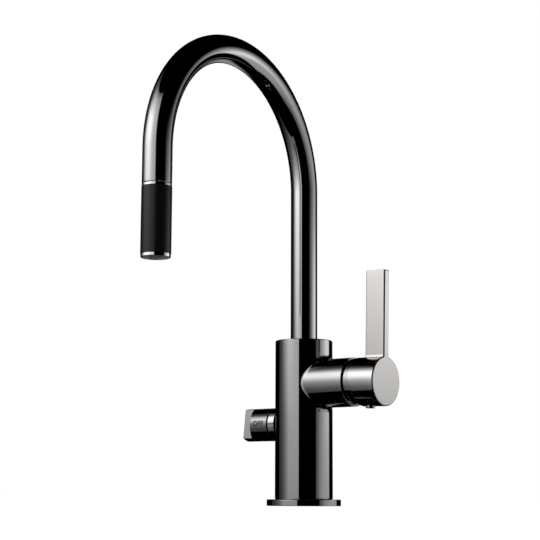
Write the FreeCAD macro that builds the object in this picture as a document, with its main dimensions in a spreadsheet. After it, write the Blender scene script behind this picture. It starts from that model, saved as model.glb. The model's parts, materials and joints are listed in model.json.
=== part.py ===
import FreeCAD, Part
import Sketcher
import math
import os
import re

# Pull-out kitchen mixer tap, in millimetres.
# Origin at the middle of the base on the worktop, +Z up, handle barrel towards +X, shut-off knob
# towards -X and spout towards -Y, turned a few degrees to the handle as in the photograph.

doc = FreeCAD.newDocument("kitchen_mixer")
sheet = doc.addObject("Spreadsheet::Sheet", "Sizes")

sizes = [
    # base and what clamps it to the worktop
    ("flange_diameter", 64),
    ("flange_thickness", 5.5),
    ("gasket_inner_diameter", 46),
    ("gasket_width", 6),
    ("gasket_thickness", 2),
    ("shank_diameter", 33),
    ("shank_wall", 1.3),
    ("shank_length", 60),
    ("shank_head_step", 0.5),
    ("shank_thread_depth", 11.5),
    ("relief_width", 1),
    ("relief_depth", 0.6),
    ("worktop_gap", 40),
    ("clamp_washer_diameter", 56),
    ("rubber_washer_thickness", 2),
    ("steel_washer_thickness", 2.5),
    ("nut_height", 12),
    ("nut_across_flats", 46),
    # column and its waterways
    ("column_diameter", 50),
    ("column_top", 142.3),
    ("edge_break", 0.5),
    ("hose_bore_diameter", 12.6),
    ("port_circle_radius", 11),
    ("port_diameter", 8),
    ("port_depth", 12),
    ("port_lap", 1),
    ("inlet_port_angle", 33),
    ("riser_diameter", 5.6),
    ("riser_reach", 11.5),
    ("riser_offset", 7.5),
    ("inlet_drop", 4.5),
    ("mixed_rise", 5.5),
    ("mixed_diameter", 5),
    ("mixed_reach", 14.5),
    # spout and its seat in the column
    ("socket_diameter", 35),
    ("socket_depth", 26.3),
    ("bush_thickness", 2),
    ("foot_height", 16),
    ("tube_seat_depth", 12),
    ("spout_diameter", 23.4),
    ("spout_wall", 1.1),
    ("arch_radius", 103.35),
    ("arch_height", 273.6),
    ("spout_drop", 28.1),
    ("spout_turn", 4),
    ("swivel_limit", 60),
    ("stop_screw_diameter", 5),
    ("stop_slot_depth", 3),
    ("stop_screw_inset", 0.5),
    # hose
    ("hose_diameter", 11),
    ("hose_wall", 2),
    ("hose_tail_drop", 40),
    ("coupling_diameter", 13),
    ("coupling_length", 16),
    # spray
    ("dock_gap", 0.6),
    ("dock_sleeve_length", 16),
    ("collar_height", 2.4),
    ("sleeve_diameter", 23.8),
    ("sleeve_length", 52.1),
    ("sleeve_wall", 1.5),
    ("nozzle_diameter", 23.4),
    ("nozzle_height", 2.7),
    ("nozzle_tail", 5),
    ("aerator_diameter", 17.6),
    ("aerator_height", 10),
    ("aerator_recess", 0.8),
    ("screen_thickness", 1.5),
    ("waterway_diameter", 9),
    ("check_valve_diameter", 12),
    ("check_valve_length", 11),
    ("stub_diameter", 15),
    ("stub_height", 7.5),
    ("hose_washer_thickness", 1),
    ("hose_nut_diameter", 18.8),
    ("hose_nut_lip", 2),
    ("ferrule_flange_thickness", 1.8),
    ("ferrule_tail_diameter", 10),
    ("ferrule_diameter", 14),
    ("ferrule_length", 9),
    # handle barrel and cartridge
    ("barrel_diameter", 41.8),
    ("barrel_drop", 38.1),
    ("barrel_end", 54.2),
    ("chamber_floor", 21),
    ("mouth_diameter", 38),
    ("cartridge_diameter", 35),
    ("cartridge_length", 20),
    ("cartridge_wall", 2),
    ("seal_thickness", 1.5),
    ("disc_thickness", 3),
    ("moving_disc_diameter", 22),
    ("carrier_thickness", 3.2),
    ("cartridge_nut_height", 5),
    ("cartridge_nut_bore", 24),
    ("turret_neck_diameter", 21),
    ("turret_neck_length", 8),
    ("turret_lid_thickness", 2.5),
    ("pivot_reach", 44),
    ("pivot_pin_diameter", 3),
    ("spindle_width", 8),
    ("ball_diameter", 5.6),
    ("ball_reach", 10.5),
    ("ball_neck_diameter", 4),
    # cover ring and handle
    ("cover_gap", 2.8),
    ("cover_diameter", 41),
    ("cover_thickness", 1.5),
    ("cover_spigot_wall", 2),
    ("dome_height", 2.6),
    ("dome_base_diameter", 30.2),
    ("dome_top_diameter", 25.2),
    ("dome_wall", 1.3),
    ("handle_diameter", 41.4),
    ("handle_rim", 59.5),
    ("handle_end", 85.9),
    ("handle_wall", 2.5),
    ("handle_end_thickness", 3),
    ("hub_diameter", 16),
    ("hub_start", 66.3),
    ("spindle_grip", 12),
    ("tilt_limit", 18),
    ("lever_width", 18.2),
    ("lever_thickness", 7.3),
    ("lever_reach", 93.3),
    ("plug_diameter", 8),
    ("plug_to_rim", 0.2),
    ("plug_drop", 1.6),
    ("grub_diameter", 5),
    # shut-off for the appliance feed
    ("shutoff_axis_height", 70.4),
    ("knob_diameter", 28.9),
    ("index_collar_end", 29.3),
    ("knob_start", 30.8),
    ("knob_shoulder", 48.9),
    ("knob_end", 61.4),
    ("knob_edge_break", 1.2),
    ("blade_thickness", 14),
    ("blade_tilt", 7),
    ("knob_cavity_diameter", 22),
    ("knob_cavity_depth", 7),
    ("knob_screw_diameter", 4),
    ("knob_screw_length", 7),
    ("headpart_diameter", 16),
    ("headpart_flange_diameter", 20),
    ("headpart_flange_thickness", 2),
    ("headpart_neck_diameter", 12),
    ("headpart_neck_length", 5.2),
    ("valve_seat", 17),
    ("valve_disc_thickness", 2),
    ("valve_disc_diameter", 13),
    ("valve_seat_bore", 5),
    ("valve_chamber_diameter", 24),
    ("feed_offset", 11),
    ("valve_spindle_diameter", 7),
    ("valve_spindle_grip", 9),
    # clearances
    ("thread_clearance", 0.1),
    ("fit_clearance", 0.05),
    ("moving_clearance", 0.3),
]

for row, (alias, number) in enumerate(sizes, start=1):
    sheet.set("A%d" % row, alias.replace("_", " "))
    sheet.set("B%d" % row, str(number))
    sheet.setAlias("B%d" % row, alias)
doc.recompute()

# Sizes that follow from the driving ones.
derived = {
    "column_radius": "column_diameter / 2",
    "barrel_axis_height": "column_top - barrel_drop",
    "lever_top": "barrel_axis_height + lever_reach",
    "spout_end_height": "arch_height - spout_drop",
    "flange_radius": "flange_diameter / 2",
    "gasket_inner_radius": "gasket_inner_diameter / 2",
    "gasket_outer_radius": "gasket_inner_radius + gasket_width",
    "shank_radius": "shank_diameter / 2",
    "shank_inner_radius": "shank_radius - shank_wall",
    "shank_head_radius": "shank_radius + shank_head_step",
    "shank_top": "flange_thickness + shank_thread_depth",
    "port_top": "shank_top + port_depth",
    "inlet_height": "barrel_axis_height - inlet_drop",
    "mixed_height": "barrel_axis_height + mixed_rise",
    "socket_radius": "socket_diameter / 2",
    "socket_floor": "column_top - socket_depth",
    "foot_bottom": "socket_floor + bush_thickness",
    "foot_top": "foot_bottom + foot_height",
    "foot_radius": "socket_radius - moving_clearance",
    "foot_middle": "foot_bottom + foot_height / 2",
    "gland_bottom": "foot_top + bush_thickness",
    "tube_bottom": "foot_top - tube_seat_depth",
    "spout_radius": "spout_diameter / 2",
    "spout_inner_radius": "spout_radius - spout_wall",
    "reach": "2 * arch_radius",
    "spray_x": "reach * sin(spout_turn * 1 deg)",
    "spray_y": "-reach * cos(spout_turn * 1 deg)",
    "stop_screw_radius": "stop_screw_diameter / 2",
    "slot_floor_radius": "foot_radius - stop_slot_depth",
    "hose_radius": "hose_diameter / 2",
    "hose_bore_radius": "hose_bore_diameter / 2",
    "hose_inner_radius": "hose_radius - hose_wall",
    "collar_top": "spout_end_height - dock_gap",
    "collar_bottom": "collar_top - collar_height",
    "sleeve_radius": "sleeve_diameter / 2",
    "sleeve_inner_radius": "sleeve_radius - sleeve_wall",
    "sleeve_bottom": "collar_bottom - sleeve_length",
    "core_radius": "sleeve_inner_radius - fit_clearance",
    "nozzle_bottom": "sleeve_bottom - nozzle_height",
    "aerator_radius": "aerator_diameter / 2",
    "aerator_bottom": "nozzle_bottom + aerator_recess",
    "aerator_top": "aerator_bottom + aerator_height",
    "aerator_bore_radius": "aerator_radius + fit_clearance",
    "nozzle_tail_radius": "(aerator_bore_radius + core_radius) / 2",
    "waterway_radius": "waterway_diameter / 2",
    "check_valve_radius": "check_valve_diameter / 2",
    "check_valve_bottom": "collar_bottom - check_valve_length",
    "stub_radius": "stub_diameter / 2",
    "stub_top": "collar_bottom + stub_height",
    "washer_top": "stub_top + hose_washer_thickness",
    "ferrule_flange_top": "washer_top + ferrule_flange_thickness",
    "hose_nut_radius": "hose_nut_diameter / 2",
    "hose_nut_top": "ferrule_flange_top + hose_nut_lip",
    "ferrule_tail_radius": "ferrule_tail_diameter / 2",
    "ferrule_radius": "ferrule_diameter / 2",
    "ferrule_start": "hose_nut_top + moving_clearance",
    "ferrule_top": "ferrule_start + ferrule_length",
    "barrel_radius": "barrel_diameter / 2",
    "mouth_radius": "mouth_diameter / 2",
    "cartridge_radius": "cartridge_diameter / 2",
    "cartridge_bottom": "chamber_floor + seal_thickness",
    "cartridge_top": "cartridge_bottom + cartridge_length",
    "cartridge_inner_radius": "cartridge_radius - cartridge_wall",
    "cavity_bottom": "cartridge_bottom + cartridge_wall",
    "fixed_disc_top": "cavity_bottom + disc_thickness",
    "moving_disc_top": "fixed_disc_top + disc_thickness",
    "carrier_top": "moving_disc_top + carrier_thickness",
    "turret_bottom": "carrier_top + moving_clearance",
    "turret_shoulder": "cartridge_top - turret_lid_thickness",
    "turret_top": "cartridge_top + turret_neck_length - turret_lid_thickness",
    "turret_neck_radius": "turret_neck_diameter / 2",
    "turret_flange_radius": "cartridge_inner_radius - moving_clearance",
    "cartridge_nut_top": "cartridge_top + cartridge_nut_height",
    "slot_length": "spindle_width + 2 * (pivot_reach - turret_bottom) * tan(tilt_limit * 1 deg)"
                   " + 4 * moving_clearance",
    "spindle_radius": "spindle_width / 2",
    "spindle_end": "hub_start + spindle_grip",
    "ball_radius": "ball_diameter / 2",
    "ball_place": "pivot_reach - ball_reach",
    "spindle_start": "turret_bottom + 2 * moving_clearance",
    "cover_start": "barrel_end + cover_gap",
    "cover_top": "cover_start + cover_thickness",
    "cover_spigot_radius": "mouth_radius - thread_clearance",
    "handle_radius": "handle_diameter / 2",
    "handle_bore_radius": "handle_radius - handle_wall",
    "handle_floor": "handle_end - handle_end_thickness",
    "hub_radius": "hub_diameter / 2",
    "plug_radius": "plug_diameter / 2",
    "rim_low_point": "handle_rim + handle_radius * tan(tilt_limit * 1 deg)",
    "plug_reach": "rim_low_point + plug_to_rim + plug_radius",
    "grub_radius": "grub_diameter / 2",
    "lever_start": "handle_end - lever_width",
    "knob_radius": "knob_diameter / 2",
    "headpart_radius": "headpart_diameter / 2",
    "fixed_seat_top": "valve_seat + valve_disc_thickness",
    "headpart_start": "valve_seat + 2 * valve_disc_thickness",
    "headpart_flange_top": "index_collar_end + headpart_flange_thickness",
    "headpart_end": "headpart_flange_top + headpart_neck_length",
    "valve_spindle_radius": "valve_spindle_diameter / 2",
    "knob_floor": "knob_start + knob_cavity_depth",
    "valve_spindle_end": "knob_floor + valve_spindle_grip",
    "knob_screw_place": "knob_floor + valve_spindle_grip / 2",
}

aliases = {alias for alias, number in sizes}


def in_sheet(text):
    # Writes an expression on size names as one on the sheet's cells.
    def swap(match):
        word = match.group(0)
        if word in derived:
            return "(" + in_sheet(derived[word]) + ")"
        if word in aliases:
            return "Sizes." + word
        return word
    return re.sub(r"[a-z_]+", swap, text)


def bind(thing, **places):
    # Binds properties of an object to expressions on the sheet.
    for name, text in places.items():
        thing.setExpression(name.replace("__", "."), in_sheet(text))
    return thing


# Ways that a piece can lie, and the four axes that pieces are turned about.
upright = FreeCAD.Rotation(0, 0, 0)
along_x = FreeCAD.Rotation(FreeCAD.Vector(0, 1, 0), 90)
along_minus_x = FreeCAD.Rotation(FreeCAD.Vector(0, 1, 0), -90)
along_y = FreeCAD.Rotation(FreeCAD.Vector(1, 0, 0), -90)
downwards = FreeCAD.Rotation(FreeCAD.Vector(1, 0, 0), 180)
leaning_back = FreeCAD.Rotation(FreeCAD.Vector(-1, 0, 0), 1)
frames = {
    "column": (upright, ("0", "0", "0")),
    "spray": (upright, ("spray_x", "spray_y", "0")),
    "barrel": (along_x, ("0", "0", "barrel_axis_height")),
    "shutoff": (along_minus_x, ("0", "0", "shutoff_axis_height")),
}


def put(thing, rotation, base):
    # Places an object, with its base point bound to the sheet.
    thing.Placement = FreeCAD.Placement(FreeCAD.Vector(), rotation)
    return bind(thing, Placement__Base__x=base[0], Placement__Base__y=base[1], Placement__Base__z=base[2])


def plane_of(body, role):
    return [feature for feature in body.Origin.OriginFeatures if feature.Role == role][0]


def new_sketch(body, name, role):
    sketch = body.newObject("Sketcher::SketchObject", name)
    sketch.AttachmentSupport = [(plane_of(body, role), "")]
    sketch.MapMode = "FlatFace"
    return sketch


def pin_point(sketch, geometry, end, across, up):
    # Holds one point of a sketch at its distances from the sketch's origin.
    spot = sketch.getPoint(geometry, end)
    for kind, now, text in (("DistanceX", spot.x, across), ("DistanceY", spot.y, up)):
        if text:
            index = sketch.addConstraint(Sketcher.Constraint(kind, -1, 1, geometry, end, now))
            sketch.setExpression("Constraints[%d]" % index, in_sheet(text))


def draw_outline(sketch, corners):
    # A closed outline of straight edges, each corner held by its two sizes.
    count = len(corners)
    spots = [FreeCAD.Vector(number, number * number, 0) for number in range(count)]
    edges = [Part.LineSegment(spots[number], spots[(number + 1) % count]) for number in range(count)]
    sketch.addGeometry(edges, False)
    joins = [Sketcher.Constraint("Coincident", number, 2, (number + 1) % count, 1) for number in range(count)]
    sketch.addConstraint(joins)
    for number, (across, up) in enumerate(corners):
        pin_point(sketch, number, 1, across, up)


def turned(label, frame, corners):
    # A piece turned about its axis from corners given as radius and distance along the axis.
    rotation, base = frames[frame]
    body = doc.addObject("PartDesign::Body", label)
    put(body, rotation, base)
    sketch = new_sketch(body, label + "_outline", "XZ_Plane")
    draw_outline(sketch, corners)
    turn = body.newObject("PartDesign::Revolution", label + "_turn")
    turn.Profile = sketch
    turn.ReferenceAxis = (sketch, ["V_Axis"])
    turn.Angle = 360
    return body


def ring(label, frame, inner, outer, low, high):
    return turned(label, frame, [(inner, low), (outer, low), (outer, high), (inner, high)])


def broken_ring(label, frame, inner, outer, low, high):
    # A ring with its two outer edges broken.
    inset = outer + " - edge_break"
    return turned(label, frame, [
        (inner, low), (inset, low), (outer, low + " + edge_break"),
        (outer, high + " - edge_break"), (inset, high), (inner, high)])


def rod(label, radius, length, rotation, base):
    cylinder = doc.addObject("Part::Cylinder", label)
    bind(cylinder, Radius=radius, Height=length)
    return put(cylinder, rotation, base)


def block(label, length, width, height, base):
    box = doc.addObject("Part::Box", label)
    bind(box, Length=length, Width=width, Height=height)
    return put(box, upright, base)


def joined(label, pieces):
    fusion = doc.addObject("Part::MultiFuse", label)
    fusion.Shapes = pieces
    fusion.Refine = True
    return fusion


def less(label, stock, tools):
    tool = tools[0]
    if len(tools) > 1:
        tool = doc.addObject("Part::MultiFuse", label + "_tools")
        tool.Shapes = tools
    cut = doc.addObject("Part::Cut", label)
    cut.Base = stock
    cut.Tool = tool
    return cut


def plate(label, corners, width):
    # A flat outline in the plane of the barrel and the column, thickened to both sides.
    body = doc.addObject("PartDesign::Body", label)
    sketch = new_sketch(body, label + "_outline", "XZ_Plane")
    draw_outline(sketch, corners)
    pad = body.newObject("PartDesign::Pad", label + "_pad")
    pad.Profile = sketch
    pad.SideType = "Symmetric"
    bind(pad, Length=width)
    return body


def pipe(label, radii, start, end):
    # A pipe up the column's axis, over the arch and, where an end is given, down to it,
    # drawn towards -Y and turned with the spout.
    # The sketches start from rough sizes, which the expressions then replace.
    rough = 100
    foot, shoulder = FreeCAD.Vector(0, rough, 0), FreeCAD.Vector(0, 2 * rough, 0)
    middle, far = FreeCAD.Vector(-rough, 2 * rough, 0), FreeCAD.Vector(-2 * rough, 2 * rough, 0)
    up = FreeCAD.Vector(0, 0, 1)
    body = doc.addObject("PartDesign::Body", label)
    bind(body, Placement__Rotation__Angle="spout_turn * 1 deg")
    spine = new_sketch(body, label + "_spine", "YZ_Plane")
    spine.addGeometry(Part.LineSegment(foot, shoulder), False)
    spine.addGeometry(Part.ArcOfCircle(Part.Circle(middle, up, rough), 0, math.pi), False)
    spine.addConstraint(Sketcher.Constraint("Coincident", 0, 2, 1, 1))
    pin_point(spine, 0, 1, "0", start)
    pin_point(spine, 0, 2, "0", "arch_height")
    pin_point(spine, 1, 2, "-reach", "arch_height")
    pin_point(spine, 1, 3, None, "arch_height")
    if end:
        spine.addGeometry(Part.LineSegment(far, far - foot / 2), False)
        spine.addConstraint(Sketcher.Constraint("Coincident", 1, 2, 2, 1))
        pin_point(spine, 2, 2, "-reach", end)
    section = new_sketch(body, label + "_section", "XY_Plane")
    section.setExpression("AttachmentOffset.Base.z", in_sheet(start))
    for number, radius in enumerate(radii):
        rough_radius = rough / (number + 1)
        section.addGeometry(Part.Circle(FreeCAD.Vector(), up, rough_radius), False)
        section.addConstraint(Sketcher.Constraint("Coincident", number, 3, -1, 1))
        size = section.addConstraint(Sketcher.Constraint("Radius", number, rough_radius))
        section.setExpression("Constraints[%d]" % size, in_sheet(radius))
    doc.recompute()
    sweep = body.newObject("PartDesign::AdditivePipe", label + "_sweep")
    sweep.Profile = section
    sweep.Spine = (spine, ["Edge%d" % (number + 1) for number in range(len(spine.Geometry))])
    return body


# Base: flange, gasket, shank and the nut set that clamps the worktop.
base_flange = turned("base_flange", "column", [
    ("shank_head_radius + thread_clearance", "0"),
    ("gasket_inner_radius", "0"),
    ("gasket_inner_radius", "gasket_thickness"),
    ("gasket_outer_radius", "gasket_thickness"),
    ("gasket_outer_radius", "0"),
    ("flange_radius", "0"),
    ("flange_radius", "flange_thickness - edge_break"),
    ("flange_radius - edge_break", "flange_thickness"),
    ("shank_head_radius + thread_clearance", "flange_thickness")])

deck_gasket = ring("deck_gasket", "column", "gasket_inner_radius + fit_clearance",
                   "gasket_outer_radius - fit_clearance", "0", "gasket_thickness")

mounting_shank = turned("mounting_shank", "column", [
    ("shank_inner_radius", "-shank_length"),
    ("shank_radius", "-shank_length"),
    ("shank_radius", "-worktop_gap"),
    ("shank_radius - relief_depth", "-worktop_gap"),
    ("shank_radius - relief_depth", "relief_width - worktop_gap"),
    ("shank_radius", "relief_width - worktop_gap"),
    ("shank_radius", "0"),
    ("shank_head_radius", "0"),
    ("shank_head_radius", "shank_top"),
    ("shank_inner_radius", "shank_top")])

clamp_bore = "shank_radius + moving_clearance"
rubber_bottom = "-worktop_gap - rubber_washer_thickness"
steel_bottom = rubber_bottom + " - steel_washer_thickness"
nut_bottom = steel_bottom + " - nut_height"
clamp_washer_rubber = ring("clamp_washer_rubber", "column", clamp_bore, "clamp_washer_diameter / 2",
                           rubber_bottom, "-worktop_gap")
clamp_washer_steel = ring("clamp_washer_steel", "column", clamp_bore, "clamp_washer_diameter / 2",
                          steel_bottom, rubber_bottom)
nut_blank = doc.addObject("Part::Prism", "nut_blank")
nut_blank.Polygon = 6
bind(nut_blank, Circumradius="nut_across_flats / 2 / cos(30 deg)", Height="nut_height")
put(nut_blank, upright, ("0", "0", nut_bottom))
nut_bore = rod("nut_bore", clamp_bore, "nut_height", upright, ("0", "0", nut_bottom))
fixing_nut = less("fixing_nut", nut_blank, [nut_bore])

# Column and handle barrel, two castings brazed together, with the seats and waterways bored into them.
column_stock = turned("column_stock", "column", [
    ("0", "flange_thickness"),
    ("column_radius", "flange_thickness"),
    ("column_radius", "column_top - edge_break"),
    ("column_radius - edge_break", "column_top"),
    ("0", "column_top")])
barrel_stock = turned("barrel_stock", "barrel", [
    ("0", "0"),
    ("barrel_radius", "0"),
    ("barrel_radius", "barrel_end - edge_break"),
    ("barrel_radius - edge_break", "barrel_end"),
    ("0", "barrel_end")])
column_saddle = rod("column_saddle", "column_radius", "column_top", upright, ("0", "0", "0"))

riser_radius = "riser_diameter / 2"
mixed_radius = "mixed_diameter / 2"
port_base = "shank_top"
inlet_x = "port_circle_radius * cos(inlet_port_angle * 1 deg)"
inlet_y = "port_circle_radius * sin(inlet_port_angle * 1 deg)"
riser_length = "inlet_height - port_top + port_lap"
riser_base = "port_top - port_lap"
barrel_height = "barrel_axis_height"
knob_height = "shutoff_axis_height"
cartridge_chamber = rod("cartridge_chamber", "cartridge_radius + thread_clearance",
                        "barrel_end - chamber_floor", along_x, ("chamber_floor", "0", barrel_height))
barrel_mouth = rod("barrel_mouth", "mouth_radius", "barrel_end - cartridge_top", along_x,
                   ("cartridge_top", "0", barrel_height))
bores = [
    rod("spout_socket", "socket_radius", "socket_depth", upright, ("0", "0", "socket_floor")),
    rod("hose_bore", "hose_bore_radius", "socket_floor - flange_thickness", upright,
        ("0", "0", "flange_thickness")),
    rod("shank_socket", "shank_head_radius + thread_clearance", "shank_thread_depth", upright,
        ("0", "0", "flange_thickness")),
    cartridge_chamber,
    rod("stop_screw_hole", "stop_screw_radius", "column_radius", along_y,
        ("0", "slot_floor_radius", "foot_middle")),
]
for side, sign in (("hot", ""), ("cold", "-")):
    bores.append(rod(side + "_port", "port_diameter / 2", "port_depth", upright,
                     (inlet_x, sign + inlet_y, port_base)))
    bores.append(rod(side + "_riser", riser_radius, riser_length, upright,
                     ("riser_reach", sign + "riser_offset", riser_base)))
    bores.append(rod(side + "_feed", riser_radius, "chamber_floor - riser_reach", along_x,
                     ("riser_reach", sign + "riser_offset", "inlet_height")))
bores += [
    rod("mixed_port", "port_diameter / 2", "port_depth", upright, ("0", "port_circle_radius", port_base)),
    rod("mixed_down", mixed_radius, "mixed_height - port_top + port_lap", upright,
        ("0", "mixed_reach", riser_base)),
    rod("mixed_across", mixed_radius, "mixed_reach * sqrt(2)",
        FreeCAD.Rotation(FreeCAD.Vector(1, 1, 0), 90), ("0", "mixed_reach", "mixed_height")),
    rod("mixed_feed", mixed_radius, "chamber_floor - mixed_reach", along_x,
        ("mixed_reach", "0", "mixed_height")),
    rod("appliance_port", "port_diameter / 2", "port_depth", upright,
        ("-port_circle_radius", "0", port_base)),
    rod("appliance_down", riser_radius, "shutoff_axis_height - port_top + port_lap", upright,
        ("-port_circle_radius", "0", riser_base)),
    rod("valve_seat_hole", "valve_seat_bore / 2", "valve_seat - port_circle_radius", along_minus_x,
        ("-port_circle_radius", "0", knob_height)),
    rod("valve_chamber", "valve_chamber_diameter / 2", "headpart_start - valve_seat", along_minus_x,
        ("-valve_seat", "0", knob_height)),
    rod("valve_feed", riser_radius, "riser_reach + (valve_seat + headpart_start) / 2", along_minus_x,
        ("riser_reach", "-feed_offset", knob_height)),
    rod("headpart_hole", "headpart_radius + thread_clearance", "column_radius - headpart_start",
        along_minus_x, ("-headpart_start", "0", knob_height)),
]
body_casting = less("body_casting", column_stock, bores)
handle_barrel = less("handle_barrel", barrel_stock, [column_saddle, cartridge_chamber, barrel_mouth])

# Spout seat: bushes, gland ring and the screw that stops the swivel.
spout_bush_lower = ring("spout_bush_lower", "column", "hose_bore_radius", "socket_radius - fit_clearance",
                        "socket_floor", "foot_bottom")
spout_bush_upper = ring("spout_bush_upper", "column", "spout_radius + moving_clearance",
                        "socket_radius - fit_clearance", "foot_top", "gland_bottom")
gland_ring = broken_ring("gland_ring", "column", "spout_radius + moving_clearance",
                         "socket_radius - thread_clearance", "gland_bottom", "column_top")
spout_stop_screw = rod("spout_stop_screw", "stop_screw_radius - fit_clearance",
                       "column_radius - stop_screw_inset - slot_floor_radius - moving_clearance", along_y,
                       ("0", "slot_floor_radius + moving_clearance", "foot_middle"))

# Spout: foot with its stop slot, tube and docking sleeve.
foot_stock = turned("foot_stock", "column", [
    ("hose_bore_radius", "foot_bottom"),
    ("foot_radius", "foot_bottom"),
    ("foot_radius", "foot_top"),
    ("spout_radius + fit_clearance", "foot_top"),
    ("spout_radius + fit_clearance", "tube_bottom"),
    ("hose_bore_radius", "tube_bottom")])
slot_half_angle = "swivel_limit * 1 deg + asin((stop_screw_radius + moving_clearance) / slot_floor_radius)"
slot_height = "stop_screw_diameter + 2 * moving_clearance"
slot_base = ("0", "0", "foot_middle - stop_screw_radius - moving_clearance")
slot_sector = rod("slot_sector", "socket_radius", slot_height, upright, slot_base)
bind(slot_sector, Angle="2 * (" + slot_half_angle + ")",
     Placement__Rotation__Angle="90 deg + spout_turn * 1 deg - (" + slot_half_angle + ")")
slot_core = rod("slot_core", "slot_floor_radius", slot_height, upright, slot_base)
stop_slot = less("stop_slot", slot_sector, [slot_core])
spout_foot = less("spout_foot", foot_stock, [stop_slot])
spout_tube = pipe("spout_tube", ["spout_radius", "spout_inner_radius"], "tube_bottom", "spout_end_height")
docking_sleeve = ring("docking_sleeve", "spray", "hose_nut_radius + moving_clearance",
                      "spout_inner_radius - fit_clearance", "spout_end_height",
                      "spout_end_height + dock_sleeve_length")

# Hose: the stretch inside the spout and column, its lower coupling, and the lead that pulls out.
spout_hose = pipe("spout_hose", ["hose_radius", "hose_inner_radius"], "-hose_tail_drop", None)
hose_coupling = broken_ring("hose_coupling", "column", "hose_inner_radius", "coupling_diameter / 2",
                            "-hose_tail_drop - coupling_length", "-hose_tail_drop")
hose_lead = ring("hose_lead", "spray", "hose_inner_radius", "hose_radius", "ferrule_top", "arch_height")
hose_ferrule = turned("hose_ferrule", "spray", [
    ("hose_inner_radius", "washer_top"),
    ("stub_radius - thread_clearance", "washer_top"),
    ("stub_radius - thread_clearance", "ferrule_flange_top"),
    ("ferrule_tail_radius", "ferrule_flange_top"),
    ("ferrule_tail_radius", "ferrule_start"),
    ("ferrule_radius", "ferrule_start"),
    ("ferrule_radius", "ferrule_top"),
    ("hose_inner_radius", "ferrule_top")])

# Spray: core, sleeve, rings, aerator, check valve and hose joint.
spray_core = turned("spray_core", "spray", [
    ("nozzle_tail_radius + fit_clearance", "sleeve_bottom"),
    ("core_radius", "sleeve_bottom"),
    ("core_radius", "collar_bottom"),
    ("stub_radius", "collar_bottom"),
    ("stub_radius", "stub_top"),
    ("waterway_radius", "stub_top"),
    ("waterway_radius", "collar_bottom"),
    ("check_valve_radius + fit_clearance", "collar_bottom"),
    ("check_valve_radius + fit_clearance", "check_valve_bottom"),
    ("waterway_radius", "check_valve_bottom"),
    ("waterway_radius", "aerator_top"),
    ("nozzle_tail_radius + fit_clearance", "aerator_top")])
check_valve = ring("check_valve", "spray", "hose_inner_radius", "check_valve_radius",
                   "check_valve_bottom", "collar_bottom")
spray_sleeve = broken_ring("spray_sleeve", "spray", "sleeve_inner_radius", "sleeve_radius",
                           "sleeve_bottom", "collar_bottom")
spray_collar_ring = broken_ring("spray_collar_ring", "spray", "hose_nut_radius + thread_clearance",
                                "spout_radius", "collar_bottom", "collar_top")
nozzle_ring = turned("nozzle_ring", "spray", [
    ("aerator_bore_radius", "nozzle_bottom"),
    ("nozzle_diameter / 2 - edge_break", "nozzle_bottom"),
    ("nozzle_diameter / 2", "nozzle_bottom + edge_break"),
    ("nozzle_diameter / 2", "sleeve_bottom"),
    ("nozzle_tail_radius", "sleeve_bottom"),
    ("nozzle_tail_radius", "sleeve_bottom + nozzle_tail"),
    ("aerator_bore_radius", "sleeve_bottom + nozzle_tail")])
aerator_housing = ring("aerator_housing", "spray", "aerator_radius - screen_thickness", "aerator_radius",
                       "aerator_bottom", "aerator_top")
aerator_screen = ring("aerator_screen", "spray", "0", "aerator_radius - screen_thickness",
                      "aerator_bottom", "aerator_bottom + screen_thickness")
hose_washer = ring("hose_washer", "spray", "hose_inner_radius", "stub_radius - thread_clearance",
                   "stub_top", "washer_top")
hose_nut = turned("hose_nut", "spray", [
    ("stub_radius + thread_clearance", "collar_bottom"),
    ("hose_nut_radius", "collar_bottom"),
    ("hose_nut_radius", "hose_nut_top - edge_break"),
    ("hose_nut_radius - edge_break", "hose_nut_top"),
    ("ferrule_tail_radius + moving_clearance", "hose_nut_top"),
    ("ferrule_tail_radius + moving_clearance", "ferrule_flange_top"),
    ("stub_radius + thread_clearance", "ferrule_flange_top")])


# Cartridge: seal, housing, ceramic discs, turret with its pivot pin, and nut.
def port_holes(name, low, high):
    length = high + " - (" + low + ")"
    holes = [rod(name + "_mixed_hole", mixed_radius, length, along_x, (low, "0", "mixed_height"))]
    for side, sign in (("hot", ""), ("cold", "-")):
        holes.append(rod(name + "_" + side + "_hole", riser_radius, length, along_x,
                         (low, sign + "riser_offset", "inlet_height")))
    return holes


seal_stock = ring("seal_stock", "barrel", "0", "cartridge_radius", "chamber_floor", "cartridge_bottom")
cartridge_seal = less("cartridge_seal", seal_stock, port_holes("seal", "chamber_floor", "cartridge_bottom"))
housing_stock = turned("housing_stock", "barrel", [
    ("0", "cartridge_bottom"),
    ("cartridge_radius", "cartridge_bottom"),
    ("cartridge_radius", "cartridge_top"),
    ("turret_neck_radius + moving_clearance", "cartridge_top"),
    ("turret_neck_radius + moving_clearance", "turret_shoulder"),
    ("cartridge_inner_radius", "turret_shoulder"),
    ("cartridge_inner_radius", "cavity_bottom"),
    ("0", "cavity_bottom")])
cartridge_housing = less("cartridge_housing", housing_stock,
                         port_holes("housing", "cartridge_bottom", "cavity_bottom"))
fixed_stock = ring("fixed_stock", "barrel", "0", "cartridge_inner_radius - fit_clearance",
                   "cavity_bottom", "fixed_disc_top")
cartridge_fixed_disc = less("cartridge_fixed_disc", fixed_stock,
                            port_holes("fixed_disc", "cavity_bottom", "fixed_disc_top"))
cartridge_moving_disc = ring("cartridge_moving_disc", "barrel", "0", "moving_disc_diameter / 2",
                             "fixed_disc_top", "moving_disc_top")
disc_carrier = ring("disc_carrier", "barrel", "ball_radius + moving_clearance", "moving_disc_diameter / 2",
                    "moving_disc_top", "carrier_top")
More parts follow.
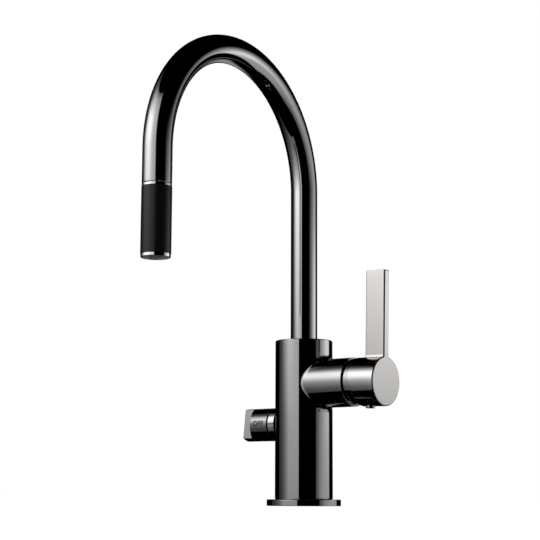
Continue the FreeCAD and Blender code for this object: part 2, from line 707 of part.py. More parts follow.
turret_stock = turned("turret_stock", "barrel", [
    ("0", "turret_bottom"),
    ("turret_flange_radius", "turret_bottom"),
    ("turret_flange_radius", "turret_shoulder"),
    ("turret_neck_radius", "turret_shoulder"),
    ("turret_neck_radius", "turret_top"),
    ("0", "turret_top")])
slot_width = "spindle_width + moving_clearance"
turret_slot = block("turret_slot", "turret_top - turret_bottom", slot_width, "slot_length",
                    ("turret_bottom", "-(" + slot_width + ") / 2", "barrel_axis_height - slot_length / 2"))
pin_half = "sqrt(turret_neck_radius * turret_neck_radius - pivot_pin_diameter * pivot_pin_diameter / 4)"
pin_hole = rod("pin_hole", "pivot_pin_diameter / 2 + fit_clearance", "2 * turret_neck_radius", along_y,
               ("pivot_reach", "-turret_neck_radius", barrel_height))
cartridge_turret = less("cartridge_turret", turret_stock, [turret_slot, pin_hole])
pivot_pin = rod("pivot_pin", "pivot_pin_diameter / 2", "2 * " + pin_half, along_y,
                ("pivot_reach", "-" + pin_half, barrel_height))
cartridge_nut = ring("cartridge_nut", "barrel", "cartridge_nut_bore / 2", "mouth_radius - thread_clearance",
                     "cartridge_top", "cartridge_nut_top")

# Cover ring with the low dome that the handle swings round.
cover_ring = turned("cover_ring", "barrel", [
    ("cover_spigot_radius - cover_spigot_wall", "cartridge_nut_top"),
    ("cover_spigot_radius", "cartridge_nut_top"),
    ("cover_spigot_radius", "cover_start"),
    ("cover_diameter / 2", "cover_start"),
    ("cover_diameter / 2", "cover_top"),
    ("dome_base_diameter / 2", "cover_top"),
    ("dome_top_diameter / 2", "cover_top + dome_height"),
    ("dome_top_diameter / 2 - dome_wall", "cover_top + dome_height"),
    ("dome_base_diameter / 2 - dome_wall", "cover_start"),
    ("cover_spigot_radius - cover_spigot_wall", "cover_start")])

# Handle: cup and flat lever in one, its spindle, grub screw and plug.
cup_stock = turned("cup_stock", "barrel", [
    ("0", "hub_start"),
    ("hub_radius", "hub_start"),
    ("hub_radius", "handle_floor"),
    ("handle_bore_radius", "handle_floor"),
    ("handle_bore_radius", "handle_rim"),
    ("handle_radius", "handle_rim"),
    ("handle_radius", "handle_end - edge_break"),
    ("handle_radius - edge_break", "handle_end"),
    ("0", "handle_end")])
lever_root = "barrel_axis_height + handle_radius - handle_wall / 2"
lever_stock = plate("lever_stock", [
    ("lever_start", lever_root),
    ("handle_end", lever_root),
    ("handle_end", "lever_top - edge_break"),
    ("handle_end - edge_break", "lever_top"),
    ("lever_start + edge_break", "lever_top"),
    ("lever_start", "lever_top - edge_break")], "lever_thickness")
handle_stock = joined("handle_stock", [cup_stock, lever_stock])
bevel_drop = "handle_diameter"
rim_bevel = plate("rim_bevel", [
    ("handle_rim", "barrel_axis_height"),
    ("handle_rim", "barrel_axis_height - " + bevel_drop),
    ("handle_rim + " + bevel_drop + " * tan(tilt_limit * 1 deg)", "barrel_axis_height - " + bevel_drop)],
    "2 * handle_diameter")
square_width = "spindle_width + 2 * fit_clearance"
spindle_hole = block("spindle_hole", "spindle_grip", square_width, square_width,
                     ("hub_start", "-(" + square_width + ") / 2",
                      "barrel_axis_height - (" + square_width + ") / 2"))
grub_hole = rod("grub_hole", "grub_radius", "hub_radius", downwards, ("plug_reach", "0", barrel_height))
plug_hole = rod("plug_hole", "plug_radius", "handle_radius - hub_radius", downwards,
                ("plug_reach", "0", "barrel_axis_height - hub_radius"))
handle_lever = less("handle_lever", handle_stock, [rim_bevel, spindle_hole, grub_hole, plug_hole])

spindle_bar = block("spindle_bar", "spindle_end - spindle_start", "spindle_width", "spindle_width",
                    ("spindle_start", "-spindle_radius", "barrel_axis_height - spindle_radius"))
spindle_neck = rod("spindle_neck", "ball_neck_diameter / 2", "spindle_start - ball_place + spindle_radius",
                   along_x, ("ball_place", "0", barrel_height))
spindle_ball = doc.addObject("Part::Sphere", "spindle_ball")
bind(spindle_ball, Radius="ball_radius")
put(spindle_ball, upright, ("ball_place", "0", barrel_height))
spindle_stock = joined("spindle_stock", [spindle_bar, spindle_neck, spindle_ball])
spindle_pin_hole = rod("spindle_pin_hole", "pivot_pin_diameter / 2 + fit_clearance", "spindle_width", along_y,
                       ("pivot_reach", "-spindle_radius", barrel_height))
lever_spindle = less("lever_spindle", spindle_stock, [spindle_pin_hole])
handle_grub_screw = rod("handle_grub_screw", "grub_radius - fit_clearance", "hub_radius - spindle_radius",
                        downwards, ("plug_reach", "0", "barrel_axis_height - spindle_radius"))
handle_plug = rod("handle_plug", "plug_radius - fit_clearance", "handle_wall + plug_drop", downwards,
                  ("plug_reach", "0", "barrel_axis_height - handle_bore_radius"))

# Shut-off: collar, headpart, ceramic discs, spindle, knob and its screw.
collar_stock = ring("collar_stock", "shutoff", "headpart_radius + thread_clearance", "knob_radius",
                    "valve_seat", "index_collar_end")
index_collar = less("index_collar", collar_stock, [column_saddle])
spindle_bore = "valve_spindle_radius + fit_clearance"
shutoff_headpart = turned("shutoff_headpart", "shutoff", [
    (spindle_bore, "headpart_start"),
    ("headpart_radius", "headpart_start"),
    ("headpart_radius", "index_collar_end"),
    ("headpart_flange_diameter / 2", "index_collar_end"),
    ("headpart_flange_diameter / 2", "headpart_flange_top"),
    ("headpart_neck_diameter / 2", "headpart_flange_top"),
    ("headpart_neck_diameter / 2", "headpart_end"),
    (spindle_bore, "headpart_end")])
shutoff_fixed_disc = ring("shutoff_fixed_disc", "shutoff", "valve_seat_bore / 2", "valve_disc_diameter / 2",
                          "valve_seat", "fixed_seat_top")
shutoff_turning_disc = ring("shutoff_turning_disc", "shutoff", "0", "valve_disc_diameter / 2",
                            "fixed_seat_top", "headpart_start")
shutoff_spindle = rod("shutoff_spindle", "valve_spindle_radius", "valve_spindle_end - headpart_start",
                      along_minus_x, ("-headpart_start", "0", knob_height))
knob_stock = turned("knob_stock", "shutoff", [
    ("knob_cavity_diameter / 2", "knob_start"),
    ("knob_radius - edge_break", "knob_start"),
    ("knob_radius", "knob_start + edge_break"),
    ("knob_radius", "knob_end - knob_edge_break"),
    ("knob_radius - knob_edge_break", "knob_end"),
    ("0", "knob_end"),
    ("0", "valve_spindle_end"),
    (spindle_bore, "valve_spindle_end"),
    (spindle_bore, "knob_floor"),
    ("knob_cavity_diameter / 2", "knob_floor")])
flat_size = ("knob_end - knob_shoulder", "knob_radius", "knob_diameter")
front_flat = block("front_flat", *flat_size,
                   ("-knob_end", "-blade_thickness / 2 - knob_radius", "-knob_radius"))
rear_flat = block("rear_flat", *flat_size, ("-knob_end", "blade_thickness / 2", "-knob_radius"))
knob_flats = joined("knob_flats", [front_flat, rear_flat])
put(knob_flats, leaning_back, ("0", "0", knob_height))
bind(knob_flats, Placement__Rotation__Angle="blade_tilt * 1 deg")
screw_hole = rod("screw_hole", "knob_screw_diameter / 2", "knob_radius", downwards,
                 ("-knob_screw_place", "0", knob_height))
shutoff_knob = less("shutoff_knob", knob_stock, [knob_flats, screw_hole])
knob_screw = rod("knob_screw", "knob_screw_diameter / 2 - fit_clearance", "knob_screw_length", downwards,
                 ("-knob_screw_place", "0", "shutoff_axis_height - valve_spindle_radius"))

doc.recompute()

nodes = [
    base_flange, deck_gasket, mounting_shank, clamp_washer_rubber, clamp_washer_steel, fixing_nut,
    body_casting, handle_barrel, spout_bush_lower, spout_bush_upper, gland_ring, spout_stop_screw,
    spout_foot, spout_tube, docking_sleeve, spout_hose, hose_coupling, hose_lead, hose_ferrule,
    spray_core, check_valve, spray_sleeve, spray_collar_ring, nozzle_ring, aerator_housing, aerator_screen,
    hose_washer, hose_nut,
    cartridge_seal, cartridge_housing, cartridge_fixed_disc, cartridge_moving_disc, disc_carrier,
    cartridge_turret, pivot_pin, cartridge_nut, cover_ring,
    handle_lever, lever_spindle, handle_grub_screw, handle_plug,
    index_collar, shutoff_headpart, shutoff_fixed_disc, shutoff_turning_disc, shutoff_spindle, shutoff_knob,
    knob_screw,
]

failed = [thing.Label for thing in doc.Objects if "Invalid" in thing.State or "Error" in thing.State]
if failed:
    raise RuntimeError("objects failed: " + ", ".join(failed))
for node in nodes:
    shape = node.Shape
    if shape.isNull() or not shape.isValid() or not shape.Solids:
        raise RuntimeError("no valid solid in " + node.Label)

os.makedirs("parts", exist_ok=True)
for node in nodes:
    node.Shape.exportStep("parts/" + node.Label + ".step")
    print("%-24s %d solid(s) %10.1f mm3" % (node.Label, len(node.Shape.Solids), node.Shape.Volume))
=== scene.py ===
import json
import math

import bmesh
import bpy
from mathutils import Matrix, Vector

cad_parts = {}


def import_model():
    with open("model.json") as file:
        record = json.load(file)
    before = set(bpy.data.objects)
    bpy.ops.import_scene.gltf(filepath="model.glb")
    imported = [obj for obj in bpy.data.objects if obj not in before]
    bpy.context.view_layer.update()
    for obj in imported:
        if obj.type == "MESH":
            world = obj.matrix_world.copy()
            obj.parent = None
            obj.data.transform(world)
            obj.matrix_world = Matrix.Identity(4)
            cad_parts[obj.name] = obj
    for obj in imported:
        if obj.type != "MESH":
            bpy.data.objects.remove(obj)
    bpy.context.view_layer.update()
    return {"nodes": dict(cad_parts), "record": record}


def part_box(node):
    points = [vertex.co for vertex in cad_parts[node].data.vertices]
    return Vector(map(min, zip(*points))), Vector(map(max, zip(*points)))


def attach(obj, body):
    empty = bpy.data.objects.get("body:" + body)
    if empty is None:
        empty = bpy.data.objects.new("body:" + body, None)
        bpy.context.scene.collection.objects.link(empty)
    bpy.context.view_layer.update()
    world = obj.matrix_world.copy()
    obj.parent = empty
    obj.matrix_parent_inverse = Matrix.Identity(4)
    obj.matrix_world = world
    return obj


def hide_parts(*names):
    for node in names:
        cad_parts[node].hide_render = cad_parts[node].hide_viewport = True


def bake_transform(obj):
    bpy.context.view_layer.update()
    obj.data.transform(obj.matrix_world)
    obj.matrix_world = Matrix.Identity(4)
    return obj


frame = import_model()
mm = 0.001
print("frame loaded:", len(frame["nodes"]), "nodes")

# Where things stand, in millimetres, as in the part's source
layout = {"columnRadius": 25.0, "columnFoot": 5.5, "columnTop": 142.3, "barrelAxis": 104.2,
          "barrelRadius": 20.9, "shutoffAxis": 70.4, "archRadius": 103.35, "archHeight": 273.6,
          "spoutEnd": 245.5, "spoutTurn": 4.0}
spoutTurn = Matrix.Rotation(math.radians(layout["spoutTurn"]), 4, "Z")
sprayFoot = spoutTurn @ Vector((0, -2 * layout["archRadius"], 0))
axes = {
    "column": Matrix.Identity(4),
    "spray": Matrix.Translation(sprayFoot),
    "barrel": Matrix.Translation((0, 0, layout["barrelAxis"])) @ Matrix.Rotation(math.pi / 2, 4, "Y"),
    "shutoff": Matrix.Translation((0, 0, layout["shutoffAxis"])) @ Matrix.Rotation(-math.pi / 2, 4, "Y"),
}

# Camera, from a fit to the outlines
camera = {"distance": 1.24428, "around": 37.18, "height": 0.011, "yaw": 1.382, "pitch": 8.877,
          "roll": 0.263, "focalPixels": 1426.76, "framePixels": 540, "sensor": 36.0,
          "nearest": 0.01, "farthest": 50}


def placeCamera(c):
    around = math.radians(c["around"])
    heading = math.radians(c["around"] + c["yaw"])
    pitch = math.radians(c["pitch"])
    roll = math.radians(c["roll"])
    ahead = Vector((-math.sin(heading) * math.cos(pitch), math.cos(heading) * math.cos(pitch),
                    math.sin(pitch)))
    level = Vector((math.cos(heading), math.sin(heading), 0))
    upward = level.cross(ahead)
    right = level * math.cos(roll) + upward * math.sin(roll)
    top = upward * math.cos(roll) - level * math.sin(roll)
    data = bpy.data.cameras.new("tapCamera")
    data.sensor_width = c["sensor"]
    data.lens = c["focalPixels"] / c["framePixels"] * c["sensor"]
    data.clip_start = c["nearest"]
    data.clip_end = c["farthest"]
    cameraObject = bpy.data.objects.new("tapCamera", data)
    bpy.context.scene.collection.objects.link(cameraObject)
    spot = Vector((math.sin(around) * c["distance"], -math.cos(around) * c["distance"], c["height"]))
    turn = Matrix((right, top, -ahead)).transposed()
    cameraObject.matrix_world = Matrix.Translation(spot) @ turn.to_4x4()
    bpy.context.scene.camera = cameraObject
    return heading


heading = placeCamera(camera)
print("camera placed")


# Node helpers
def addNode(tree, kind, inputs=None, **settings):
    item = tree.nodes.new(kind)
    for key, value in settings.items():
        setattr(item, key, value)
    for key, value in (inputs or {}).items():
        if isinstance(value, bpy.types.NodeSocket):
            tree.links.new(value, item.inputs[key])
        else:
            item.inputs[key].default_value = value
    return item


def sumUp(tree, operation, first, second=0.0):
    return addNode(tree, "ShaderNodeMath", {0: first, 1: second}, operation=operation).outputs[0]


def newGroup(name, kind, inputs, outputs):
    group = bpy.data.node_groups.new(name, kind)
    for title, socketType in inputs:
        group.interface.new_socket(title, in_out="INPUT", socket_type="NodeSocket" + socketType)
    for title, socketType in outputs:
        group.interface.new_socket(title, in_out="OUTPUT", socket_type="NodeSocket" + socketType)
    return group, addNode(group, "NodeGroupInput").outputs, addNode(group, "NodeGroupOutput")


# Shared surface effects
effects = {"finer": 6.0, "broadShare": 0.7, "fineShare": 0.3, "broadDetail": 3.0, "fineDetail": 2.0,
           "grainDetail": 4.0, "bumpDepth": 0.0002}


def wearGroup(d):
    group, given, result = newGroup("wear", "ShaderNodeTree", [("Scale", "Float")], [("Factor", "Float")])
    place = addNode(group, "ShaderNodeTexCoord").outputs["Object"]
    broad = addNode(group, "ShaderNodeTexNoise",
                    {"Vector": place, "Scale": given["Scale"], "Detail": d["broadDetail"]})
    finer = sumUp(group, "MULTIPLY", given["Scale"], d["finer"])
    fine = addNode(group, "ShaderNodeTexNoise", {"Vector": place, "Scale": finer, "Detail": d["fineDetail"]})
    both = sumUp(group, "ADD", sumUp(group, "MULTIPLY", broad.outputs["Fac"], d["broadShare"]),
                 sumUp(group, "MULTIPLY", fine.outputs["Fac"], d["fineShare"]))
    group.links.new(both, result.inputs["Factor"])
    return group


def grainGroup(d):
    group, given, result = newGroup("grain", "ShaderNodeTree", [("Stretch", "Vector"), ("Scale", "Float")],
                                    [("Height", "Float")])
    place = addNode(group, "ShaderNodeTexCoord").outputs["Object"]
    drawn = addNode(group, "ShaderNodeVectorMath", {0: place, 1: given["Stretch"]}, operation="MULTIPLY")
    noise = addNode(group, "ShaderNodeTexNoise",
                    {"Vector": drawn.outputs[0], "Scale": given["Scale"], "Detail": d["grainDetail"]})
    group.links.new(noise.outputs["Fac"], result.inputs["Height"])
    return group


# Two sets of slanting strands over and under each other round an upright hose
def weaveGroup():
    group, given, result = newGroup("weave", "ShaderNodeTree",
                                    [("Strands", "Float"), ("Pitch", "Float"), ("Middle", "Vector")],
                                    [("Height", "Float")])
    place = addNode(group, "ShaderNodeTexCoord").outputs["Object"]
    around = addNode(group, "ShaderNodeVectorMath", {0: place, 1: given["Middle"]}, operation="SUBTRACT")
    parts = addNode(group, "ShaderNodeSeparateXYZ", {0: around.outputs[0]}).outputs
    turn = sumUp(group, "MULTIPLY", sumUp(group, "ARCTAN2", parts["Y"], parts["X"]), given["Strands"])
    climb = sumUp(group, "DIVIDE", parts["Z"], given["Pitch"])
    left = sumUp(group, "SINE", sumUp(group, "ADD", turn, climb))
    right = sumUp(group, "SINE", sumUp(group, "SUBTRACT", turn, climb))
    crossing = sumUp(group, "MULTIPLY", left, right)
    height = sumUp(group, "ADD", sumUp(group, "MULTIPLY", crossing, 0.5), 0.5)  # from -1..1 to 0..1
    group.links.new(height, result.inputs["Height"])
    return group


groups = {"wear": wearGroup(effects), "grain": grainGroup(effects), "weave": weaveGroup()}

# Finishes: two tones that a wear pattern mixes, and the range of roughness between them
brushed = {"stretch": (1.0, 1.0, 0.04), "scale": 1500.0, "strength": 0.02}
finishes = {
    "blackChrome": {"tones": ((0.43, 0.422, 0.418), (0.47, 0.461, 0.457)), "metallic": 1.0,
                    "roughness": (0.03, 0.05), "scale": 40.0},
    # the next finish is a lighter copy of the black chrome for the handle's cup: painted light
    "chromePaintedLight": {"tones": ((0.50, 0.489, 0.481), (0.53, 0.518, 0.51)), "metallic": 1.0,
                   "roughness": (0.03, 0.05), "scale": 40.0},
    "satinEnd": {"tones": ((0.49, 0.477, 0.466), (0.51, 0.496, 0.484)), "metallic": 1.0,
                 "roughness": (0.17, 0.22), "scale": 40.0, "grain": brushed},
    # the next finish is the end's satin made lighter and warmer: painted light on the lever's sides
    "satinPaintedLight": {"tones": ((0.545, 0.526, 0.508), (0.575, 0.555, 0.536)), "metallic": 1.0,
                  "roughness": (0.17, 0.22), "scale": 40.0, "grain": brushed},
    "brightChrome": {"tones": ((0.80, 0.80, 0.81), (0.86, 0.86, 0.87)), "metallic": 1.0,
                     "roughness": (0.05, 0.09), "scale": 80.0},
    "softBlack": {"tones": ((0.002, 0.002, 0.0021), (0.003, 0.003, 0.0031)), "metallic": 0.0,
                  "roughness": (0.27, 0.32), "scale": 120.0, "specular": 0.35,
                  "grain": {"stretch": (1.0, 1.0, 1.0), "scale": 2600.0, "strength": 0.05}},
    "brass": {"tones": ((0.58, 0.40, 0.17), (0.68, 0.49, 0.23)), "metallic": 1.0,
              "roughness": (0.20, 0.34), "scale": 90.0},
    "steel": {"tones": ((0.50, 0.50, 0.51), (0.60, 0.60, 0.61)), "metallic": 1.0,
              "roughness": (0.22, 0.36), "scale": 90.0},
    "rubber": {"tones": ((0.012, 0.012, 0.012), (0.022, 0.022, 0.022)), "metallic": 0.0,
               "roughness": (0.65, 0.85), "scale": 150.0,
               "grain": {"stretch": (1.0, 1.0, 1.0), "scale": 1800.0, "strength": 0.1}},
    "acetal": {"tones": ((0.76, 0.76, 0.74), (0.84, 0.84, 0.82)), "metallic": 0.0,
               "roughness": (0.34, 0.46), "scale": 90.0},
    "greyPlastic": {"tones": ((0.11, 0.11, 0.115), (0.15, 0.15, 0.155)), "metallic": 0.0,
                    "roughness": (0.34, 0.48), "scale": 120.0},
    "ceramic": {"tones": ((0.80, 0.78, 0.75), (0.88, 0.86, 0.83)), "metallic": 0.0,
                "roughness": (0.10, 0.18), "scale": 70.0},
    "ink": {"tones": ((0.03, 0.014, 0.009), (0.04, 0.02, 0.014)), "metallic": 0.0,
            "roughness": (0.45, 0.6), "scale": 400.0},
    "braid": {"tones": ((0.006, 0.006, 0.006), (0.05, 0.05, 0.052)), "metallic": 0.0,
              "roughness": (0.42, 0.6), "scale": 300.0,
              "weave": {"strands": 12.0, "pitch": 0.00052, "strength": 0.6}},
}
slotFinish = {"black_chrome": "blackChrome", "bright_chrome": "brightChrome", "matte_black": "softBlack",
              "brass": "brass", "steel": "steel", "rubber": "rubber", "hose_black": "braid",
              "white_plastic": "acetal", "grey_plastic": "greyPlastic", "ceramic": "ceramic"}


def makeFinish(name, look):
    material = bpy.data.materials.new(name)
    material.use_nodes = True
    tree = material.node_tree
    surface = tree.nodes["Principled BSDF"]
    wear = addNode(tree, "ShaderNodeGroup", {"Scale": look["scale"]}, node_tree=groups["wear"])
    mixer = wear.outputs["Factor"]
    height = None
    if "grain" in look:
        grain = look["grain"]
        given = {"Stretch": grain["stretch"], "Scale": grain["scale"]}
        height = addNode(tree, "ShaderNodeGroup", given, node_tree=groups["grain"]).outputs["Height"]
        strength = grain["strength"]
    if "weave" in look:
        weave = look["weave"]
        given = {"Strands": weave["strands"], "Pitch": weave["pitch"], "Middle": sprayFoot * mm}
        height = addNode(tree, "ShaderNodeGroup", given, node_tree=groups["weave"]).outputs["Height"]
        mixer = height
        strength = weave["strength"]
    tones = [tone + (1.0,) for tone in look["tones"]]
    tint = addNode(tree, "ShaderNodeMix", {0: mixer, 6: tones[0], 7: tones[1]}, data_type="RGBA")
    tree.links.new(tint.outputs[2], surface.inputs["Base Color"])
    low, high = look["roughness"]
    rough = addNode(tree, "ShaderNodeMapRange",
                    {"Value": wear.outputs["Factor"], "To Min": low, "To Max": high})
    tree.links.new(rough.outputs[0], surface.inputs["Roughness"])
    surface.inputs["Metallic"].default_value = look["metallic"]
    surface.inputs["Specular IOR Level"].default_value = look.get("specular", 0.5)
    if height:
        bump = addNode(tree, "ShaderNodeBump",
                       {"Height": height, "Strength": strength, "Distance": effects["bumpDepth"]})
        tree.links.new(bump.outputs[0], surface.inputs["Normal"])
    return material


materials = {name: makeFinish(name, look) for name, look in finishes.items()}
print("finishes made:", len(materials))

# Mesh helpers: corners that agree to so many decimals of a millimetre are one,
# doubles merge within so many metres, and edges past so many degrees stay sharp
meshing = {"digits": 4, "merge": 2e-6, "sharp": 28.0}


class Shell:
    def __init__(self):
        self.points = []
        self.known = {}
        self.faces = []
        self.tones = []

    def corner(self, point):
        key = tuple(round(value, meshing["digits"]) for value in point)
        if key not in self.known:
            self.known[key] = len(self.points)
            self.points.append([value * mm for value in point])
        return self.known[key]

    def face(self, points, tone=0):
        corners = []
        for point in points:
            spot = self.corner(point)
            if spot not in corners:
                corners.append(spot)
        if len(corners) > 2:
            self.faces.append(corners)
            self.tones.append(tone)

    def grid(self, rows, tone=0, closed=False):
        count = len(rows[0])
        for low, high in zip(rows, rows[1:]):
            for i in range(count if closed else count - 1):
                j = (i + 1) % count
                self.face([low[i], low[j], high[j], high[i]], tone)

    def lathe(self, profile, axis, angles, tone=0):
        self.grid([ringRow(axis, radius, reach, angles) for radius, reach in profile], tone, closed=True)

    def mesh(self, name):
        mesh = bpy.data.meshes.new(name)
        mesh.from_pydata(self.points, [], self.faces)
        mesh.polygons.foreach_set("material_index", self.tones)
        return mesh


def ringRow(axis, radius, reach, angles):
    return [axis @ Vector((radius * math.cos(a), radius * math.sin(a), reach)) for a in angles]


def circle(count, start=0.0):
    return [start + 2 * math.pi * i / count for i in range(count)]


def quarterTurn(steps):
    return [math.pi / 2 * k / steps for k in range(steps + 1)]


def spread(first, last, steps):
    return [first + (last - first) * k / steps for k in range(steps + 1)]


# How far a six-sided outline stands from its middle in one direction
def hexReach(flat, a):
    return flat / math.cos((a + math.pi / 6) % (math.pi / 3) - math.pi / 6)


# A closed or open run of corners (radius, height, rounding), with arcs in place of the rounded ones
def rounded(corners, closed=True, step=12.0):
    points = []
    count = len(corners)
    for i, corner in enumerate(corners):
        here = Vector(corner[:2])
        turn = corner[2] if len(corner) > 2 else 0
        if not turn or (not closed and i in (0, count - 1)):
            points.append(tuple(here))
            continue
        back = (Vector(corners[i - 1][:2]) - here).normalized()
        onward = (Vector(corners[(i + 1) % count][:2]) - here).normalized()
        half = math.acos(max(-1.0, min(1.0, back.dot(onward)))) / 2
        middle = here + (back + onward).normalized() * turn / math.sin(half)
        first = here + back * turn / math.tan(half) - middle
        last = here + onward * turn / math.tan(half) - middle
        sweep = math.pi - 2 * half
        if first.x * last.y - first.y * last.x < 0:
            sweep = -sweep
        steps = max(2, math.ceil(abs(math.degrees(sweep)) / step))
        for k in range(steps + 1):
            points.append(tuple(middle + Matrix.Rotation(sweep * k / steps, 2) @ first))
    if closed:
        points.append(points[0])
    return points


def link(name, mesh, finishNames):
    item = bpy.data.objects.new(name, mesh)
    bpy.context.scene.collection.objects.link(item)
    for finishName in finishNames:
        mesh.materials.append(materials[finishName])
    return item


def bake(item):
    graph = bpy.context.evaluated_depsgraph_get()
    mesh = bpy.data.meshes.new_from_object(item.evaluated_get(graph), preserve_all_data_layers=True,
                                           depsgraph=graph)
    old = item.data
    item.modifiers.clear()
    item.data = mesh
    mesh.name = item.name
    bpy.data.meshes.remove(old)


def faceOut(item):
    work = bmesh.new()
    work.from_mesh(item.data)
    bmesh.ops.remove_doubles(work, verts=work.verts, dist=meshing["merge"])
    bmesh.ops.recalc_face_normals(work, faces=work.faces)
    work.to_mesh(item.data)
    work.free()


def smooth(item, sharp=meshing["sharp"]):
    item.data.shade_smooth()
    item.data.set_sharp_from_angle(angle=math.radians(sharp))
    weigh = item.modifiers.new("weigh", "WEIGHTED_NORMAL")
    weigh.keep_sharp = True
    bake(item)


def hand(item, body, nodes):
    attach(item, body)
    if nodes:
        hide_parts(*nodes)


def complete(item, body, nodes, sharp=meshing["sharp"]):
    faceOut(item)
    smooth(item, sharp)
    hand(item, body, nodes)


def turnPiece(name, profile, axisName, sides, body, node, slotName):
    shell = Shell()
    shell.lathe(profile, axes[axisName], circle(sides))
    item = link(name, shell.mesh(name), [slotFinish[slotName]])
    complete(item, body, [node])


def cut(item, cutters):
    for cutter in cutters:
        tool = item.modifiers.new("cut", "BOOLEAN")
        tool.operation = "DIFFERENCE"
        tool.solver = "EXACT"
        tool.object = cutter
    bake(item)
    for cutter in cutters:
        bpy.data.objects.remove(cutter)


def pin(radius, length, place, turn, sides=48):
    shell = Shell()
    spot = Matrix.Translation(place) @ turn
    shell.lathe([(0, 0), (radius, 0), (radius, length), (0, length)], spot, circle(sides))
    item = link("cutter", shell.mesh("cutter"), ["brass"])
    faceOut(item)
    return item


# Every tree that grows a mesh ends with real geometry in its finish
def endGroup(group, given, result, last):
    real = addNode(group, "GeometryNodeRealizeInstances", {"Geometry": last.outputs[0]})
    done = addNode(group, "GeometryNodeSetMaterial",
                   {"Geometry": real.outputs[0], "Material": given["Finish"]})
    group.links.new(done.outputs[0], result.inputs["Geometry"])
    return group


# Spout tube and hose: a line bent over the arch by its own length, then swept
def pathGroup():
    wanted = [("Riser Base", "Float"), ("Arch Height", "Float"), ("Arch Radius", "Float"), ("Drop", "Float"),
              ("Tube Radius", "Float"), ("Rings", "Int"), ("Sides", "Int"), ("Finish", "Material")]
    group, given, result = newGroup("spoutPath", "GeometryNodeTree", wanted, [("Geometry", "Geometry")])
    rise = sumUp(group, "SUBTRACT", given["Arch Height"], given["Riser Base"])
    bend = sumUp(group, "MULTIPLY", given["Arch Radius"], math.pi)
    total = sumUp(group, "ADD", sumUp(group, "ADD", rise, bend), given["Drop"])
    line = addNode(group, "GeometryNodeCurvePrimitiveLine", {"End": (0.0, 0.0, 1.0)})
    fine = addNode(group, "GeometryNodeResampleCurve", {"Curve": line.outputs[0], "Count": given["Rings"]})
    share = addNode(group, "GeometryNodeSplineParameter").outputs["Factor"]
    along = sumUp(group, "MULTIPLY", share, total)
    past = sumUp(group, "SUBTRACT", along, rise)
    turn = sumUp(group, "DIVIDE", past, given["Arch Radius"])
    turn = sumUp(group, "MINIMUM", sumUp(group, "MAXIMUM", turn, 0.0), math.pi)
    climb = sumUp(group, "MINIMUM", along, rise)
    fall = sumUp(group, "MAXIMUM", sumUp(group, "SUBTRACT", past, bend), 0.0)
    back = sumUp(group, "SUBTRACT", sumUp(group, "COSINE", turn), 1.0)
    across = sumUp(group, "MULTIPLY", given["Arch Radius"], back)
    over = sumUp(group, "MULTIPLY", given["Arch Radius"], sumUp(group, "SINE", turn))
    height = sumUp(group, "ADD", sumUp(group, "ADD", given["Riser Base"], climb),
                   sumUp(group, "SUBTRACT", over, fall))
    spot = addNode(group, "ShaderNodeCombineXYZ", {"Y": across, "Z": height})
    bent = addNode(group, "GeometryNodeSetPosition",
                   {"Geometry": fine.outputs[0], "Position": spot.outputs[0]})
    hoop = addNode(group, "GeometryNodeCurvePrimitiveCircle",
                   {"Resolution": given["Sides"], "Radius": given["Tube Radius"]})
    swept = addNode(group, "GeometryNodeCurveToMesh",
                    {"Curve": bent.outputs[0], "Profile Curve": hoop.outputs[0]})
    return endGroup(group, given, result, swept)


def grow(name, group, values, finishName):
    item = link(name, bpy.data.meshes.new(name), [finishName])
    values["Finish"] = materials[finishName]
    maker = item.modifiers.new("maker", "NODES")
    maker.node_group = group
    for socket in group.interface.items_tree:
        if socket.in_out == "INPUT":
            maker[socket.identifier] = values[socket.name]
    bake(item)
    return item


def outward(item, inside):
    first = item.data.polygons[0]
    if (first.center - inside).dot(first.normal) < 0:
        item.data.flip_normals()


def thicken(item, d):
    solid = item.modifiers.new("wall", "SOLIDIFY")
    solid.thickness = d["wall"] * mm
    solid.offset = -1
    soften = item.modifiers.new("lip", "BEVEL")
    soften.width = d["lip"] * mm
    soften.segments = d["lipSteps"]
    soften.limit_method = "ANGLE"
    soften.angle_limit = math.radians(d["lipAngle"])
    bake(item)


tube = {"base": 122.0, "drop": layout["archHeight"] - layout["spoutEnd"], "radius": 11.7, "wall": 1.1,
        "lip": 0.4, "lipSteps": 4, "lipAngle": 60.0, "rings": 280, "sides": 128}
hose = {"base": -40.0, "drop": 0.0, "radius": 5.5, "wall": 2.0,
        "lip": 0.3, "lipSteps": 4, "lipAngle": 60.0, "rings": 160, "sides": 40}
pathTree = pathGroup()


def sweepSpout(name, d, node, slotName):
    item = grow(name, pathTree, {
        "Riser Base": d["base"] * mm, "Arch Height": layout["archHeight"] * mm,
        "Arch Radius": layout["archRadius"] * mm, "Drop": d["drop"] * mm, "Tube Radius": d["radius"] * mm,
        "Rings": d["rings"], "Sides": d["sides"]}, slotFinish[slotName])
    item.data.transform(spoutTurn)
    outward(item, Vector((0, 0, d["base"] * mm)))
    thicken(item, d)
    smooth(item)
    hand(item, "spout", [node])


sweepSpout("spoutTube", tube, "spout_tube", "black_chrome")
sweepSpout("spoutHose", hose, "spout_hose", "hose_black")
print("spout tube and hose swept")

# The lead of hose that comes out with the spray
lead = {"low": 264.1, "high": 273.6, "radius": 5.5, "bore": 3.5, "rows": 24, "sides": 40}


def makeLead(d):
    shell = Shell()
    steps = spread(d["low"], d["high"], d["rows"])
    profile = [(d["bore"], z) for z in reversed(steps)] + [(d["radius"], z) for z in steps]
    shell.lathe(profile + profile[:1], axes["spray"], circle(d["sides"]))
    item = link("hoseLead", shell.mesh("hoseLead"), ["braid"])
    faceOut(item)
    smooth(item)
    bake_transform(item)
    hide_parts("hose_lead")


makeLead(lead)

